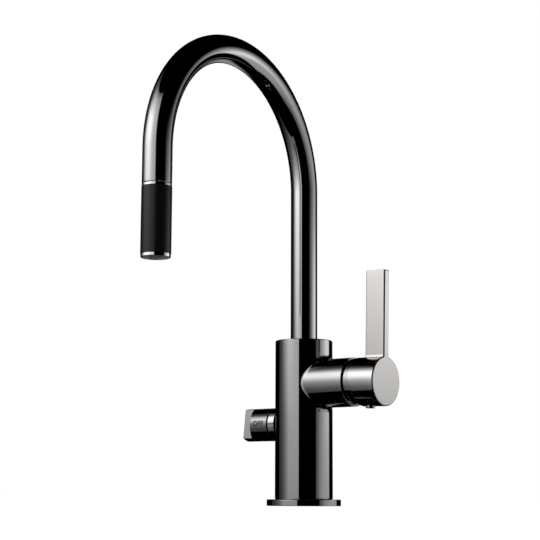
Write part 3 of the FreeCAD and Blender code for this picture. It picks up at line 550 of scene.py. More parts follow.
# Column with the handle barrel: its wall is cut where the barrel leaves it, so both share that edge
column = {"blend": 4.3, "blendRows": 8, "hoseBore": 6.3, "footRound": 1.1, "topRound": 0.9, "headBore": 17.1,
          "headDepth": 17.0, "socket": 17.5, "socketFloor": 116.0, "mouthRound": 0.2, "runUp": 2.0,
          "barrelEnd": 54.2, "barrelRound": 0.5, "mouth": 19.0, "mouthFloor": 42.5, "chamber": 17.6,
          "chamberFloor": 21.0, "around": 224, "barrelAround": 160, "rows": 20, "angleDigits": 9}


def makeColumn(d):
    shell = Shell()
    wide = layout["columnRadius"]
    small = layout["barrelRadius"]
    middle = layout["barrelAxis"]
    ball = d["blend"]
    ring = circle(d["barrelAround"], math.pi / 2)
    reach = math.asin((small + ball) / (wide + ball))
    inside = {round(math.asin((small + ball) * math.cos(a) / (wide + ball)), d["angleDigits"]) for a in ring}
    spare = d["around"] - len(inside)
    outside = [reach + (2 * math.pi - 2 * reach) * k / spare for k in range(1, spare)]
    angles = sorted(inside) + outside
    low = layout["columnFoot"]
    high = layout["columnTop"]
    foot = low + d["footRound"]
    crown = high - d["topRound"]
    under = []
    over = []
    for a in angles:
        sway = (small + ball) ** 2 - ((wide + ball) * math.sin(a)) ** 2
        half = math.sqrt(max(sway, 0)) if math.cos(a) > 0 else 0
        x = wide * math.cos(a)
        y = wide * math.sin(a)
        under.append([(x, y, z) for z in spread(foot, middle - half, d["rows"])])
        over.append([(x, y, z) for z in spread(middle + half, crown, d["rows"])])
    shell.grid([list(row) for row in zip(*under)], closed=True)
    shell.grid([list(row) for row in zip(*over)], closed=True)
    inner = rounded([(wide, low + d["runUp"]), (wide, low, d["footRound"]), (d["headBore"], low),
                     (d["headBore"], d["headDepth"]), (d["hoseBore"], d["headDepth"]),
                     (d["hoseBore"], d["socketFloor"]), (d["socket"], d["socketFloor"]),
                     (d["socket"], high, d["mouthRound"]), (wide, high, d["topRound"]),
                     (wide, high - d["runUp"])], closed=False)
    shell.lathe(inner[1:-1], axes["column"], angles)
    # the inside corner is rounded as if a ball had rolled along both cylinders
    rows = []
    for k in range(d["blendRows"] + 1):
        row = []
        for a in ring:
            across = (small + ball) * math.cos(a)
            centre = Vector((math.sqrt((wide + ball) ** 2 - across ** 2), across,
                             middle + (small + ball) * math.sin(a)))
            inward = Vector((-centre.x, -across, 0)).normalized()
            down = Vector((0, -math.cos(a), -math.sin(a)))
            row.append(centre + ball * inward.slerp(down, k / d["blendRows"]))
        rows.append(row)
    starts = rows[-1]
    straight = d["barrelEnd"] - d["barrelRound"]
    for s in spread(0, 1, d["rows"])[1:]:
        rows.append([(p.x + (straight - p.x) * s, p.y, p.z) for p in starts])
    shell.grid(rows, closed=True)
    end = rounded([(small, straight - d["runUp"]), (small, d["barrelEnd"], d["barrelRound"]),
                   (d["mouth"], d["barrelEnd"], d["mouthRound"]), (d["mouth"], d["mouthFloor"]),
                   (d["chamber"], d["mouthFloor"]), (d["chamber"], d["chamberFloor"]),
                   (0, d["chamberFloor"])], closed=False)
    shell.lathe(end[1:], axes["barrel"], [math.atan2(math.cos(a), -math.sin(a)) for a in ring])
    item = link("columnCasting", shell.mesh("columnCasting"), ["blackChrome"])
    faceOut(item)
    return item


# Water ways in the column's foot and the hole for the stop screw at its back
drilled = {"circle": 11.0, "radius": 4.0, "depth": 12.0, "over": 1.0, "angles": (33, -33, 90, 180),
           "screwRadius": 2.5, "screwLength": 12.0, "screwStart": 16.0, "screwHeight": 126.3}


def drillColumn(item, d):
    cutters = []
    for degrees in d["angles"]:
        a = math.radians(degrees)
        place = (d["circle"] * math.cos(a), d["circle"] * math.sin(a), column["headDepth"] - d["over"])
        cutters.append(pin(d["radius"], d["depth"] + d["over"], place, Matrix.Identity(4)))
    backwards = Matrix.Rotation(-math.pi / 2, 4, "X")
    cutters.append(pin(d["screwRadius"], d["screwLength"], (0, d["screwStart"], d["screwHeight"]), backwards))
    cut(item, cutters)


columnCasting = makeColumn(column)
drillColumn(columnCasting, drilled)
complete(columnCasting, "base", ["body_casting", "handle_barrel"])
print("column cast")

# Turned pieces: corners of the section as radius, height and rounding
latheSides = {"column": 192, "barrel": 192, "spray": 144}
turnedPieces = [
    {"name": "baseFlange", "node": "base_flange", "body": "base", "slot": "black_chrome", "axis": "column",
     "section": [(17.1, 0), (17.1, 5.5), (32, 5.5, 0.7), (32, 0, 0.4), (29.5, 0), (29.5, 2), (22.5, 2),
                 (22.5, 0)]},
    {"name": "glandRing", "node": "gland_ring", "body": "base", "slot": "black_chrome", "axis": "column",
     "section": [(12.0, 136), (17.4, 136), (17.4, 142.3, 0.5), (12.0, 142.3, 0.6)]},
    {"name": "sprayCollar", "node": "spray_collar_ring", "body": "hose_end", "slot": "bright_chrome",
     "axis": "spray",
     "section": [(9.5, 243.0), (11.7, 243.0, 0.2), (11.7, 244.9, 0.4), (10.4, 244.9), (10.4, 245.3),
                 (9.5, 245.3)]},
    {"name": "spraySleeve", "node": "spray_sleeve", "body": "spray_head", "slot": "matte_black",
     "axis": "spray", "section": [(10.4, 190.4), (11.9, 190.4, 0.4), (11.9, 242.95, 0.6), (10.4, 242.95)]},
    {"name": "nozzleRing", "node": "nozzle_ring", "body": "spray_head", "slot": "bright_chrome",
     "axis": "spray",
     "section": [(8.85, 187.7, 0.3), (11.7, 187.7, 0.7), (11.7, 190.4), (9.6, 190.4), (9.6, 195.4),
                 (8.85, 195.4)]},
    {"name": "coverRing", "node": "cover_ring", "body": "base", "slot": "black_chrome", "axis": "barrel",
     "section": [(16.9, 47.5), (18.9, 47.5), (18.9, 57.0), (20.15, 57.0, 0.3), (20.15, 58.5, 0.1),
                 (15.1, 58.5, 0.8), (12.6, 61.1, 0.6), (11.3, 61.1), (13.8, 57.0), (16.9, 57.0)]},
    {"name": "hoseNut", "node": "hose_nut", "body": "hose_end", "slot": "brass", "axis": "spray",
     "section": [(7.6, 242.5), (9.4, 242.5, 0.3), (9.4, 254.8, 0.5), (5.3, 254.8), (5.3, 252.8),
                 (7.6, 252.8)]},
    {"name": "hoseFerrule", "node": "hose_ferrule", "body": "hose_end", "slot": "brass", "axis": "spray",
     "section": [(3.5, 251), (7.4, 251), (7.4, 252.8), (5, 252.8), (5, 255.1), (7, 255.1, 0.4), (7, 258, 0.2),
                 (6.6, 258.4, 0.2), (6.6, 259, 0.2), (7, 259.4, 0.2), (7, 264.1, 0.6), (3.5, 264.1)]},
    {"name": "dockingSleeve", "node": "docking_sleeve", "body": "spout", "slot": "white_plastic",
     "axis": "spray", "section": [(9.7, 245.5, 0.3), (10.55, 245.5), (10.55, 261.5), (9.7, 261.5, 0.4)]},
    {"name": "hoseCoupling", "node": "hose_coupling", "body": "spout", "slot": "brass", "axis": "column",
     "section": [(3.5, -56), (6.5, -56, 0.4), (6.5, -49, 0.3), (6.1, -48.6, 0.2), (6.1, -47.4, 0.2),
                 (6.5, -47, 0.3), (6.5, -40, 0.4), (3.5, -40)]},
    {"name": "rubberWasher", "node": "clamp_washer_rubber", "body": "fixing_set", "slot": "rubber",
     "axis": "column", "section": [(16.6, -42), (28, -42, 0.4), (28, -40, 0.4), (16.6, -40)]},
    {"name": "steelWasher", "node": "clamp_washer_steel", "body": "fixing_set", "slot": "steel",
     "axis": "column", "section": [(16.6, -44.5), (28, -44.5, 0.4), (28, -42, 0.4), (16.6, -42)]},
    {"name": "deckGasket", "node": "deck_gasket", "body": "base", "slot": "rubber", "axis": "column",
     "section": [(23, 0), (29, 0), (29, 2), (23, 2)]},
]
for piece in turnedPieces:
    turnPiece(piece["name"], rounded(piece["section"]), piece["axis"], latheSides[piece["axis"]],
              piece["body"], piece["node"], piece["slot"])
print("turned pieces made:", len(turnedPieces))

# Handle: a round cup whose rim is cut back below, with a thin lip, and a flat lever that grows out of it
handle = {"rim": 59.5, "cutBack": 4.6, "cutSlope": 0.66, "lipRadius": 20.45, "lipBore": 20.2,
          "lipStart": 58.6, "lipSlope": 0.06, "lipDepth": 8.0, "end": 86.2, "radius": 20.7, "bore": 18.2,
          "floor": 82.9, "hub": 8.0, "hubStart": 66.3, "leverStart": 67.0, "half": 3.65, "top": 94.2,
          "root": 5.5, "flare": 24.0, "corner": 0.5, "edge": 1.3, "nose": 1.0, "rimRound": 0.3,
          "pivot": 44.0, "lean": 1.1, "around": 200, "rows": 12, "rootSteps": 8, "sideSteps": 14,
          "cornerSteps": 3, "noseSteps": 6, "steps": 4}
handleFinishes = ["blackChrome", "satinEnd", "satinPaintedLight", "chromePaintedLight"]
handleTones = {"edge": 0, "end": 1, "side": 2, "cup": 3}  # places in the list of finishes
handleLean = (Matrix.Translation((handle["pivot"], 0, layout["barrelAxis"]))
              @ Matrix.Rotation(math.radians(handle["lean"]), 4, "Y")
              @ Matrix.Translation((-handle["pivot"], 0, -layout["barrelAxis"])))


def lean(item):
    item.data.transform(Matrix.Scale(mm, 4) @ handleLean @ Matrix.Scale(1 / mm, 4))


# The lever's outline, taken in by an inset, and the angle at which it meets the cup
def leverRun(d, inset=0.0, root=handle["root"], radius=handle["radius"]):
    half = d["half"] - inset
    top = d["top"] - inset
    corner = max(d["corner"] - inset, 0)
    flare = math.radians(d["flare"])
    far = half + root * (1 - math.cos(flare))
    foot = math.sqrt(radius ** 2 - far ** 2)
    up = foot + root * math.sin(flare)
    meet = math.atan2(far, foot)
    points = []
    for k in range(d["rootSteps"] + 1):
        a = flare * (1 - k / d["rootSteps"])
        points.append((half + root * (1 - math.cos(a)), up - root * math.sin(a)))
    points += [(half, z) for z in spread(up, top - corner, d["sideSteps"])[1:]]
    for a in quarterTurn(d["cornerSteps"])[1:]:
        points.append((half - corner + corner * math.cos(a), top - corner + corner * math.sin(a)))
    mirrored = [(-y, z) for y, z in reversed(points)]
    return points + mirrored, meet


def makeHandle(d):
    shell = Shell()
    axis = layout["barrelAxis"]
    steps = d["steps"]
    run, meet = leverRun(d)

    def world(x, pair):
        return (x, pair[0], axis + pair[1])

    def onCup(a, radius, x):
        return (x, radius * math.sin(a), axis + radius * math.cos(a))

    def rimAt(a, radius):
        drop = max(0.0, -radius * math.cos(a))
        return d["rim"] + min(d["cutBack"], drop * d["cutSlope"])

    def lipAt(a):
        drop = max(0.0, -d["lipRadius"] * math.cos(a))
        rim = rimAt(a, d["lipRadius"])
        return rim if drop > d["lipDepth"] else min(rim, d["lipStart"] + drop * d["lipSlope"])

    # lever stations towards the barrel, its edge rounded over
    stations = []
    for a in quarterTurn(d["noseSteps"]):
        outline, angle = leverRun(d, d["nose"] * (1 - math.cos(a)))
        stations.append((d["leverStart"] + d["nose"] * (1 - math.sin(a)), outline, angle))
    straight = spread(d["leverStart"] + d["nose"], d["end"] - d["edge"], steps)
    shell.grid([[world(x, p) for p in outline] for x, outline, angle in stations], tone=handleTones["edge"])
    # the lever's sides take the lighter satin copy: painted light
    shell.grid([[world(x, p) for p in run] for x in straight], tone=handleTones["side"])

    # cup wall: angles from the top, each with its own end on the lever's foot
    last = stations[-1][2]
    crown = [(last * (1 - k / steps), d["leverStart"]) for k in range(steps + 1)]
    foot = [(angle, x) for x, outline, angle in reversed(stations)]
    below = [(meet + (2 * math.pi - 2 * meet) * k / d["around"], straight[0]) for k in range(1, d["around"])]
    beside = list(reversed(crown)) + foot[1:]
    samples = beside + below + [(-a, x) for a, x in reversed(beside)][:-1]
    angles = [a for a, x in samples]
    rows = []
    for k in range(d["rows"] + 1):
        row = []
        for a, x in samples:
            start = rimAt(a, d["radius"]) + d["rimRound"]
            row.append(onCup(a, d["radius"], start + (x - start) * k / d["rows"]))
        rows.append(row)
    # the cup wall takes the lighter chrome copy: painted light on the handle's cup
    shell.grid(rows, tone=handleTones["cup"], closed=True)
    lower = [a for a, x in foot[-1:] + below] + [2 * math.pi - meet]
    shell.grid([[onCup(a, d["radius"], x) for a in lower] for x in straight], tone=handleTones["cup"])

    # rim, lip, bore, floor and hub
    rows = []
    for turn in quarterTurn(steps):
        r = d["radius"] - d["rimRound"] * (1 - math.cos(turn))
        lift = d["rimRound"] * (1 - math.sin(turn))
        rows.append([onCup(a, r, rimAt(a, r) + lift) for a in angles])
    rows.append([onCup(a, d["lipRadius"], rimAt(a, d["lipRadius"])) for a in angles])
    rows.append([onCup(a, d["lipRadius"], lipAt(a)) for a in angles])
    rows.append([onCup(a, d["lipBore"], lipAt(a)) for a in angles])
    rows.append([onCup(a, d["lipBore"], rimAt(a, d["lipBore"])) for a in angles])
    starts = [rimAt(a, d["bore"]) for a in angles]
    for k in range(steps + 1):
        rows.append([onCup(a, d["bore"], start + (d["floor"] - start) * k / steps)
                     for a, start in zip(angles, starts)])
    for radius, x in ((d["hub"], d["floor"]), (d["hub"], d["hubStart"]), (0, d["hubStart"])):
        rows.append([onCup(a, radius, x) for a in angles])
    shell.grid(rows, tone=handleTones["edge"], closed=True)

    # end face with its softened edge, and the lever's face towards the barrel
    rows = []
    for a in quarterTurn(steps):
        inset = d["edge"] * (1 - math.cos(a))
        x = d["end"] - d["edge"] + d["edge"] * math.sin(a)
        outline, angle = leverRun(d, inset, d["root"] + inset, d["radius"] - inset)
        around = [onCup(b, d["radius"] - inset, x) for b in reversed(lower[1:-1])]
        rows.append([world(x, p) for p in outline] + around)
    for row, onward in zip(rows, rows[1:]):
        for i in range(len(row)):
            j = (i + 1) % len(row)
            high = min(row[i][2], row[j][2]) > axis + d["top"] - d["edge"]
            tone = handleTones["end" if high else "edge"]
            shell.face([row[i], row[j], onward[j], onward[i]], tone)
    shell.face(rows[-1], tone=handleTones["end"])
    x, outline, angle = stations[-1]
    arch = [onCup(a, d["radius"], d["leverStart"]) for a, start in crown[1:]]
    arch += [onCup(-a, d["radius"], d["leverStart"]) for a, start in reversed(crown[1:-1])]
    shell.face([world(x, p) for p in outline] + list(reversed(arch)), tone=handleTones["end"])
    item = link("handleLever", shell.mesh("handleLever"), handleFinishes)
    lean(item)
    complete(item, "handle", ["handle_lever"])


makeHandle(handle)
print("handle made")

# Screws and the plug: a round shank with a six-sided socket in its outer end, its depth in socket radii
screwShape = {"sides": 72, "socketDepth": 1.4}
screws = [
    {"name": "handlePlug", "node": "handle_plug", "body": "handle", "slot": "black_chrome",
     "radius": 3.95, "round": 0.7, "socket": 0, "way": (0, 0, -1)},
    {"name": "knobScrew", "node": "knob_screw", "body": "shutoff", "slot": "steel",
     "radius": 1.95, "round": 0.3, "socket": 1.1, "way": (0, 0, -1)},
    {"name": "stopScrew", "node": "spout_stop_screw", "body": "base", "slot": "steel",
     "radius": 2.45, "round": 0.3, "socket": 1.4, "way": (0, 1, 0)},
    {"name": "grubScrew", "node": "handle_grub_screw", "body": "handle", "slot": "steel",
     "radius": 2.45, "round": 0.3, "socket": 1.3, "way": (0, 0, -1)},
]


def makeScrew(d):
    low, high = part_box(d["node"])
    way = Vector(d["way"])
    centre = (Vector(low) + Vector(high)) / 2 / mm
    length = abs((Vector(high) - Vector(low)).dot(way)) / mm
    turn = Vector((0, 0, 1)).rotation_difference(way).to_matrix().to_4x4()
    spot = Matrix.Translation(centre - way * length / 2) @ turn
    shell = Shell()
    angles = circle(screwShape["sides"])
    outer = rounded([(0, 0), (d["radius"], 0, d["round"]), (d["radius"], length, d["round"]), (0, length)],
                    closed=False)
    if d["socket"]:
        shell.lathe(outer[:-1], spot, angles)
        deep = length - d["socket"] * screwShape["socketDepth"]

        def hexRow(reach):
            row = []
            for a in angles:
                r = hexReach(d["socket"], a)
                row.append(spot @ Vector((r * math.cos(a), r * math.sin(a), reach)))
            return row

        rim = ringRow(spot, *outer[-2], angles)
        pole = [spot @ Vector((0, 0, deep))] * len(angles)
        shell.grid([rim, hexRow(length), hexRow(deep), pole], closed=True)
    else:
        shell.lathe(outer, spot, angles)
    item = link(d["name"], shell.mesh(d["name"]), [slotFinish[d["slot"]]])
    if d["body"] == "handle":
        lean(item)
    complete(item, d["body"], [d["node"]])


for screw in screws:
    makeScrew(screw)
print("screws made:", len(screws))

# Shut-off knob: a round grip whose outer end is milled flat on two sides
knob = {"radius": 14.45, "start": 30.8, "shoulder": 48.9, "lean": 0.336, "end": 61.4, "half": 7.0,
        "tilt": 7.0, "round": 0.8, "startRound": 0.4, "stepRound": 0.4, "cavity": 11.0, "cavityRound": 0.2,
        "cavityFloor": 37.8, "eighthSteps": 24, "stepSteps": 5, "endSteps": 6}


def knobRow(axis, angles, radius, reaches, halves):
    row = []
    for a, reach, limit in zip(angles, reaches, halves):
        y = max(-limit, min(limit, radius * math.sin(a)))
        row.append(axis @ Vector((radius * math.cos(a), y, reach)))
    return row


def makeKnob(d):
    shell = Shell()
    axis = axes["shutoff"] @ Matrix.Rotation(math.radians(d["tilt"]), 4, "Z")
    limit = math.asin(d["half"] / d["radius"])
    quarter = spread(0, limit, d["eighthSteps"]) + spread(limit, math.pi / 2, d["eighthSteps"])[1:]
    angles = []
    for q in range(4):
        part = quarter if q % 2 == 0 else [math.pi / 2 - a for a in reversed(quarter)]
        angles += [q * math.pi / 2 + a for a in part[:-1]]
    count = len(angles)
    wide = d["radius"]
    rows = [[axis @ Vector((0, 0, d["cavityFloor"]))] * count]
    for r, x in rounded([(d["cavity"], d["cavityFloor"]), (d["cavity"], d["start"], d["cavityRound"]),
                         (wide, d["start"], d["startRound"]), (wide, d["shoulder"])], closed=False):
        rows.append(knobRow(axis, angles, r, [x] * count, [r] * count))
    # the step down to the flats leans outwards, its edge rounded
    outer = [max(d["half"], abs(wide * math.sin(a))) for a in angles]
    for a in quarterTurn(d["stepSteps"]):
        inset = d["stepRound"] * (1 - math.cos(a))
        early = d["stepRound"] * (1 - math.sin(a))
        reaches = [d["shoulder"] + (wide - y + inset) * d["lean"] - early for y in outer]
        rows.append(knobRow(axis, angles, wide, reaches, [max(d["half"], y - inset) for y in outer]))
    foot = d["shoulder"] + (wide - d["half"]) * d["lean"]
    rows.append(knobRow(axis, angles, wide, [foot] * count, [d["half"]] * count))
    for a in quarterTurn(d["endSteps"]):
        inset = d["round"] * (1 - math.cos(a))
        reach = d["end"] - d["round"] * (1 - math.sin(a))
        rows.append(knobRow(axis, angles, wide - inset, [reach] * count, [d["half"] - inset] * count))
    rows.append([axis @ Vector((0, 0, d["end"]))] * count)
    shell.grid(rows, closed=True)
    item = link("shutoffKnob", shell.mesh("shutoffKnob"), ["blackChrome"])
    complete(item, "shutoff", ["shutoff_knob"])


makeKnob(knob)

# Collar behind the knob, on a narrower neck painted soft black as painted shade in the gap, whose inner end
# is fitted to the column
collar = {"radius": 14.45, "neck": 11.9, "neckEnd": 22.7, "bore": 8.1, "end": 29.3, "round": 0.4,
          "runUp": 2.0, "around": 160}


def makeCollar(d):
    shell = Shell()
    axis = axes["shutoff"]
    wide = layout["columnRadius"]
    angles = circle(d["around"])

    def saddle(radius, a):
        return math.sqrt(wide ** 2 - (radius * math.sin(a)) ** 2)

    def at(radius, a, reach):
        return axis @ Vector((radius * math.cos(a), radius * math.sin(a), reach))

    rows = [[at(d["neck"], a, saddle(d["neck"], a)) for a in angles]]
    for r in (d["neck"], d["radius"]):
        rows.append([at(r, a, max(d["neckEnd"], saddle(r, a))) for a in angles])
    outer = rounded([(d["radius"], d["end"] - d["runUp"]), (d["radius"], d["end"], d["round"]),
                     (d["bore"], d["end"])], closed=False)
    for r, x in outer[1:]:
        rows.append([at(r, a, x) for a in angles])
    rows.append([at(d["bore"], a, saddle(d["bore"], a)) for a in angles])
    rows.append(rows[0])
    # the neck's rows take soft black: painted shade standing in for the shadow in the gap by the column
    shell.grid(rows[:3], tone=1, closed=True)
    shell.grid(rows[2:], closed=True)
    item = link("indexCollar", shell.mesh("indexCollar"), ["brightChrome", "softBlack"])
    complete(item, "base", ["index_collar"])


makeCollar(collar)

# Lettering and index line, wrapped round the shut-off's grip and collar in slices
marks = {"size": 6.2, "middle": -39.9, "bold": 0.22, "spacing": 1.1, "raise": 0.03, "lift": 0.03, "sink": 0.1,
         "lineWidth": 0.9, "lineFrom": -22.8, "lineTo": -29.2, "slices": 10, "slice": 0.5}


def wrapped(item, radius, turn):
    work = bmesh.new()
    work.from_mesh(item.data)
    for k in range(-marks["slices"], marks["slices"] + 1):
        geometry = work.verts[:] + work.edges[:] + work.faces[:]
        bmesh.ops.bisect_plane(work, geom=geometry, plane_co=(0, k * marks["slice"], 0), plane_no=(0, 1, 0))
    for vertex in work.verts:
        x, up, lift = vertex.co
        a = up / radius + turn
        r = radius + lift
        vertex.co = Vector((x, -r * math.cos(a), layout["shutoffAxis"] + r * math.sin(a))) * mm
    bmesh.ops.recalc_face_normals(work, faces=work.faces)
    work.to_mesh(item.data)
    work.free()


def letter(name, words, turn):
    curve = bpy.data.curves.new(name, "FONT")
    curve.body = words
    curve.size = marks["size"]
    curve.align_x = "CENTER"
    curve.align_y = "CENTER"
    curve.extrude = (marks["lift"] + marks["sink"]) / 2
    curve.offset = marks["bold"]
    curve.space_character = marks["spacing"]
    source = bpy.data.objects.new(name, curve)
    bpy.context.scene.collection.objects.link(source)
    graph = bpy.context.evaluated_depsgraph_get()
    mesh = bpy.data.meshes.new_from_object(source.evaluated_get(graph))
    bpy.data.objects.remove(source)
    item = link(name, mesh, ["ink"])
    mesh.transform(Matrix.Translation((marks["middle"], 0, (marks["lift"] - marks["sink"]) / 2)))
    faceOut(item)
    wrapped(item, knob["radius"], turn)
    hand(item, "shutoff", [])


letter("offMark", "OFF", marks["raise"])
letter("onMark", "ON", marks["raise"] + math.pi / 2)


# The shell scales to metres, and so does the wrapping, so the line starts a step larger
def makeLine(d):
    shell = Shell()
    half = d["lineWidth"] / 2 / mm
    low = -d["sink"] / mm
    high = d["lift"] / mm
    ring = [(-half, low), (half, low), (half, high), (-half, high)]
    rows = [[(x / mm, y, z) for y, z in ring] for x in (d["lineFrom"], d["lineTo"])]
    shell.grid(rows, closed=True)
    shell.face(rows[0])
    shell.face(rows[1])
    item = link("indexLine", shell.mesh("indexLine"), ["ink"])
    faceOut(item)
    wrapped(item, collar["radius"], 0.0)
    hand(item, "base", [])


makeLine(marks)
print("shut-off made")

# Aerator face: a honeycomb of thin cells inside its housing
aerator = {"radius": 8.8, "screen": 7.5, "face": 188.5, "top": 198.5, "pitch": 1.25, "wall": 0.22,
           "depth": 0.9, "columns": 14, "cell": 0.5774, "margin": 0.5, "sharp": 20, "housingSides": 120,
           "innerRound": 0.3, "outerRound": 0.4, "screenLow": 1.0, "screenHigh": 1.5, "screenSides": 96}


def honeycombGroup(d):
    wanted = [("Columns", "Int"), ("Count", "Int"), ("Pitch", "Float"), ("Wall", "Float"), ("Depth", "Float"),
              ("Reach", "Float"), ("Centre", "Vector"), ("Finish", "Material")]
    group, given, result = newGroup("honeycomb", "GeometryNodeTree", wanted, [("Geometry", "Geometry")])
    index = addNode(group, "GeometryNodeInputIndex").outputs[0]
    line = sumUp(group, "FLOOR", sumUp(group, "DIVIDE", index, given["Columns"]))
    place = sumUp(group, "SUBTRACT", index, sumUp(group, "MULTIPLY", line, given["Columns"]))
    shift = sumUp(group, "MULTIPLY", sumUp(group, "MODULO", line, 2.0), 0.5)  # every other row by half a cell
    middle = sumUp(group, "DIVIDE", given["Columns"], 2.0)
    across = sumUp(group, "SUBTRACT", sumUp(group, "ADD", place, shift), middle)
    across = sumUp(group, "MULTIPLY", across, given["Pitch"])
    along = sumUp(group, "MULTIPLY", sumUp(group, "SUBTRACT", line, middle), given["Pitch"])
    along = sumUp(group, "MULTIPLY", along, math.sqrt(3) / 2)
    spot = addNode(group, "ShaderNodeCombineXYZ", {"X": across, "Y": along}).outputs[0]
    dots = addNode(group, "GeometryNodePoints", {"Count": given["Count"], "Position": spot})
    where = addNode(group, "GeometryNodeInputPosition").outputs[0]
    away = addNode(group, "ShaderNodeVectorMath", {0: where}, operation="LENGTH").outputs["Value"]
    far = addNode(group, "FunctionNodeCompare", {0: away, 1: given["Reach"]}, operation="GREATER_THAN")
    kept = addNode(group, "GeometryNodeDeleteGeometry",
                   {"Geometry": dots.outputs[0], "Selection": far.outputs[0]})
    cellRadius = sumUp(group, "MULTIPLY", given["Pitch"], d["cell"])
    hexagon = addNode(group, "GeometryNodeCurvePrimitiveCircle", {"Resolution": 6, "Radius": cellRadius})
    turned = addNode(group, "GeometryNodeTransform",
                     {"Geometry": hexagon.outputs[0], "Rotation": (0.0, 0.0, math.pi / 6)})
    bar = addNode(group, "GeometryNodeCurvePrimitiveQuadrilateral",
                  {"Width": given["Wall"], "Height": given["Depth"]})
    upturned = addNode(group, "GeometryNodeSetCurveNormal", {"Curve": turned.outputs[0]}, mode="Z_UP")
    cell = addNode(group, "GeometryNodeCurveToMesh",
                   {"Curve": upturned.outputs[0], "Profile Curve": bar.outputs[0]})
    placed = addNode(group, "GeometryNodeInstanceOnPoints",
                     {"Points": kept.outputs[0], "Instance": cell.outputs[0]})
    moved = addNode(group, "GeometryNodeTransform",
                    {"Geometry": placed.outputs[0], "Translation": given["Centre"]})
    return endGroup(group, given, result, moved)


def makeAerator(d):
    cells = grow("aeratorCells", honeycombGroup(d), {
        "Columns": d["columns"], "Count": d["columns"] ** 2 + d["columns"], "Pitch": d["pitch"] * mm,
        "Wall": d["wall"] * mm, "Depth": d["depth"] * mm, "Reach": (d["screen"] - d["margin"]) * mm,
        "Centre": (sprayFoot + Vector((0, 0, d["face"] + d["depth"] / 2))) * mm}, "greyPlastic")
    complete(cells, "spray_head", [], d["sharp"])
    housing = rounded([(d["screen"], d["face"], d["innerRound"]), (d["radius"], d["face"], d["outerRound"]),
                       (d["radius"], d["top"]), (d["screen"], d["top"])])
    turnPiece("aeratorHousing", housing, "spray", d["housingSides"], "spray_head", "aerator_housing",
              "grey_plastic")
    low = d["face"] + d["screenLow"]
    high = d["face"] + d["screenHigh"]
    turnPiece("aeratorScreen", [(0, low), (d["screen"], low), (d["screen"], high), (0, high)], "spray",
              d["screenSides"], "spray_head", "aerator_screen", "grey_plastic")


makeAerator(aerator)
print("aerator made")

# Threaded shank: a plain tube with a raised thread wound on it
shank = {"radius": 16.5, "root": 15.9, "bore": 15.2, "low": -60.0, "head": 17.0, "headTop": 17.0,
         "pitch": 1.5, "stretches": ((-59.0, -40.8), (-38.2, -1.4)), "turnSteps": 72, "crestSides": 4,
         "sharp": 30, "endRound": 0.3, "sides": 144}


def threadGroup(d):
    wanted = [("Radius", "Float"), ("Turns", "Float"), ("Rise", "Float"), ("Crest", "Float"),
              ("Start", "Vector"), ("Finish", "Material")]
    group, given, result = newGroup("thread", "GeometryNodeTree", wanted, [("Geometry", "Geometry")])
    coil = addNode(group, "GeometryNodeCurveSpiral",
                   {"Resolution": d["turnSteps"], "Rotations": given["Turns"], "Height": given["Rise"],
                    "Start Radius": given["Radius"], "End Radius": given["Radius"]})
    upturned = addNode(group, "GeometryNodeSetCurveNormal", {"Curve": coil.outputs[0]}, mode="Z_UP")
    crest = addNode(group, "GeometryNodeCurvePrimitiveCircle",
                    {"Resolution": d["crestSides"], "Radius": given["Crest"]})
    swept = addNode(group, "GeometryNodeCurveToMesh",
                    {"Curve": upturned.outputs[0], "Profile Curve": crest.outputs[0], "Fill Caps": True})
    moved = addNode(group, "GeometryNodeTransform",
                    {"Geometry": swept.outputs[0], "Translation": given["Start"]})
    return endGroup(group, given, result, moved)


def makeShank(d):
    tree = threadGroup(d)
    for number, (low, high) in enumerate(d["stretches"]):
        thread = grow("shankThread%d" % (number + 1), tree, {
            "Radius": d["root"] * mm, "Turns": (high - low) / d["pitch"], "Rise": (high - low) * mm,
            "Crest": (d["radius"] - d["root"]) * mm, "Start": (0, 0, low * mm)}, "brass")
        complete(thread, "base", [], d["sharp"])
    profile = rounded([(d["bore"], d["low"]), (d["root"], d["low"], d["endRound"]), (d["root"], 0),
                       (d["head"], 0), (d["head"], d["headTop"]), (d["bore"], d["headTop"])])
    turnPiece("shankTube", profile, "column", d["sides"], "base", "mounting_shank", "brass")


makeShank(shank)

# Six-sided nut with its corners chamfered, in rows that lie closer towards its faces
nut = {"flats": 46.0, "low": -56.5, "high": -44.5, "bore": 16.6, "land": 22.2, "slope": 1.73,
       "depths": (0, 0.3, 0.7, 1.2, 1.8, 2.6), "around": 180, "sharp": 20}


def makeNut(d):
    shell = Shell()
    angles = circle(d["around"])

    def row(z, limit):
        points = []
        for a in angles:
            r = min(hexReach(d["flats"] / 2, a), limit)
            points.append((r * math.cos(a), r * math.sin(a), z))
        return points

    top = ringRow(axes["column"], d["bore"], d["high"], angles)
    bottom = ringRow(axes["column"], d["bore"], d["low"], angles)
    above = [row(d["high"] - t, d["land"] + t * d["slope"]) for t in d["depths"]]
    below = [row(d["low"] + t, d["land"] + t * d["slope"]) for t in reversed(d["depths"])]
    shell.grid([top] + above + below + [bottom, top], closed=True)
    item = link("fixingNut", shell.mesh("fixingNut"), ["brass"])
    complete(item, "fixing_set", ["fixing_nut"], d["sharp"])


makeNut(nut)
print("fixing made")

# Finishes on the CAD pieces that stay
for subpart in frame["record"]["subparts"]:
    kept = frame["nodes"][subpart["node"]]
    kept.data.materials.clear()
    kept.data.materials.append(materials[slotFinish[subpart["material_slot"]]])
print("CAD pieces painted")

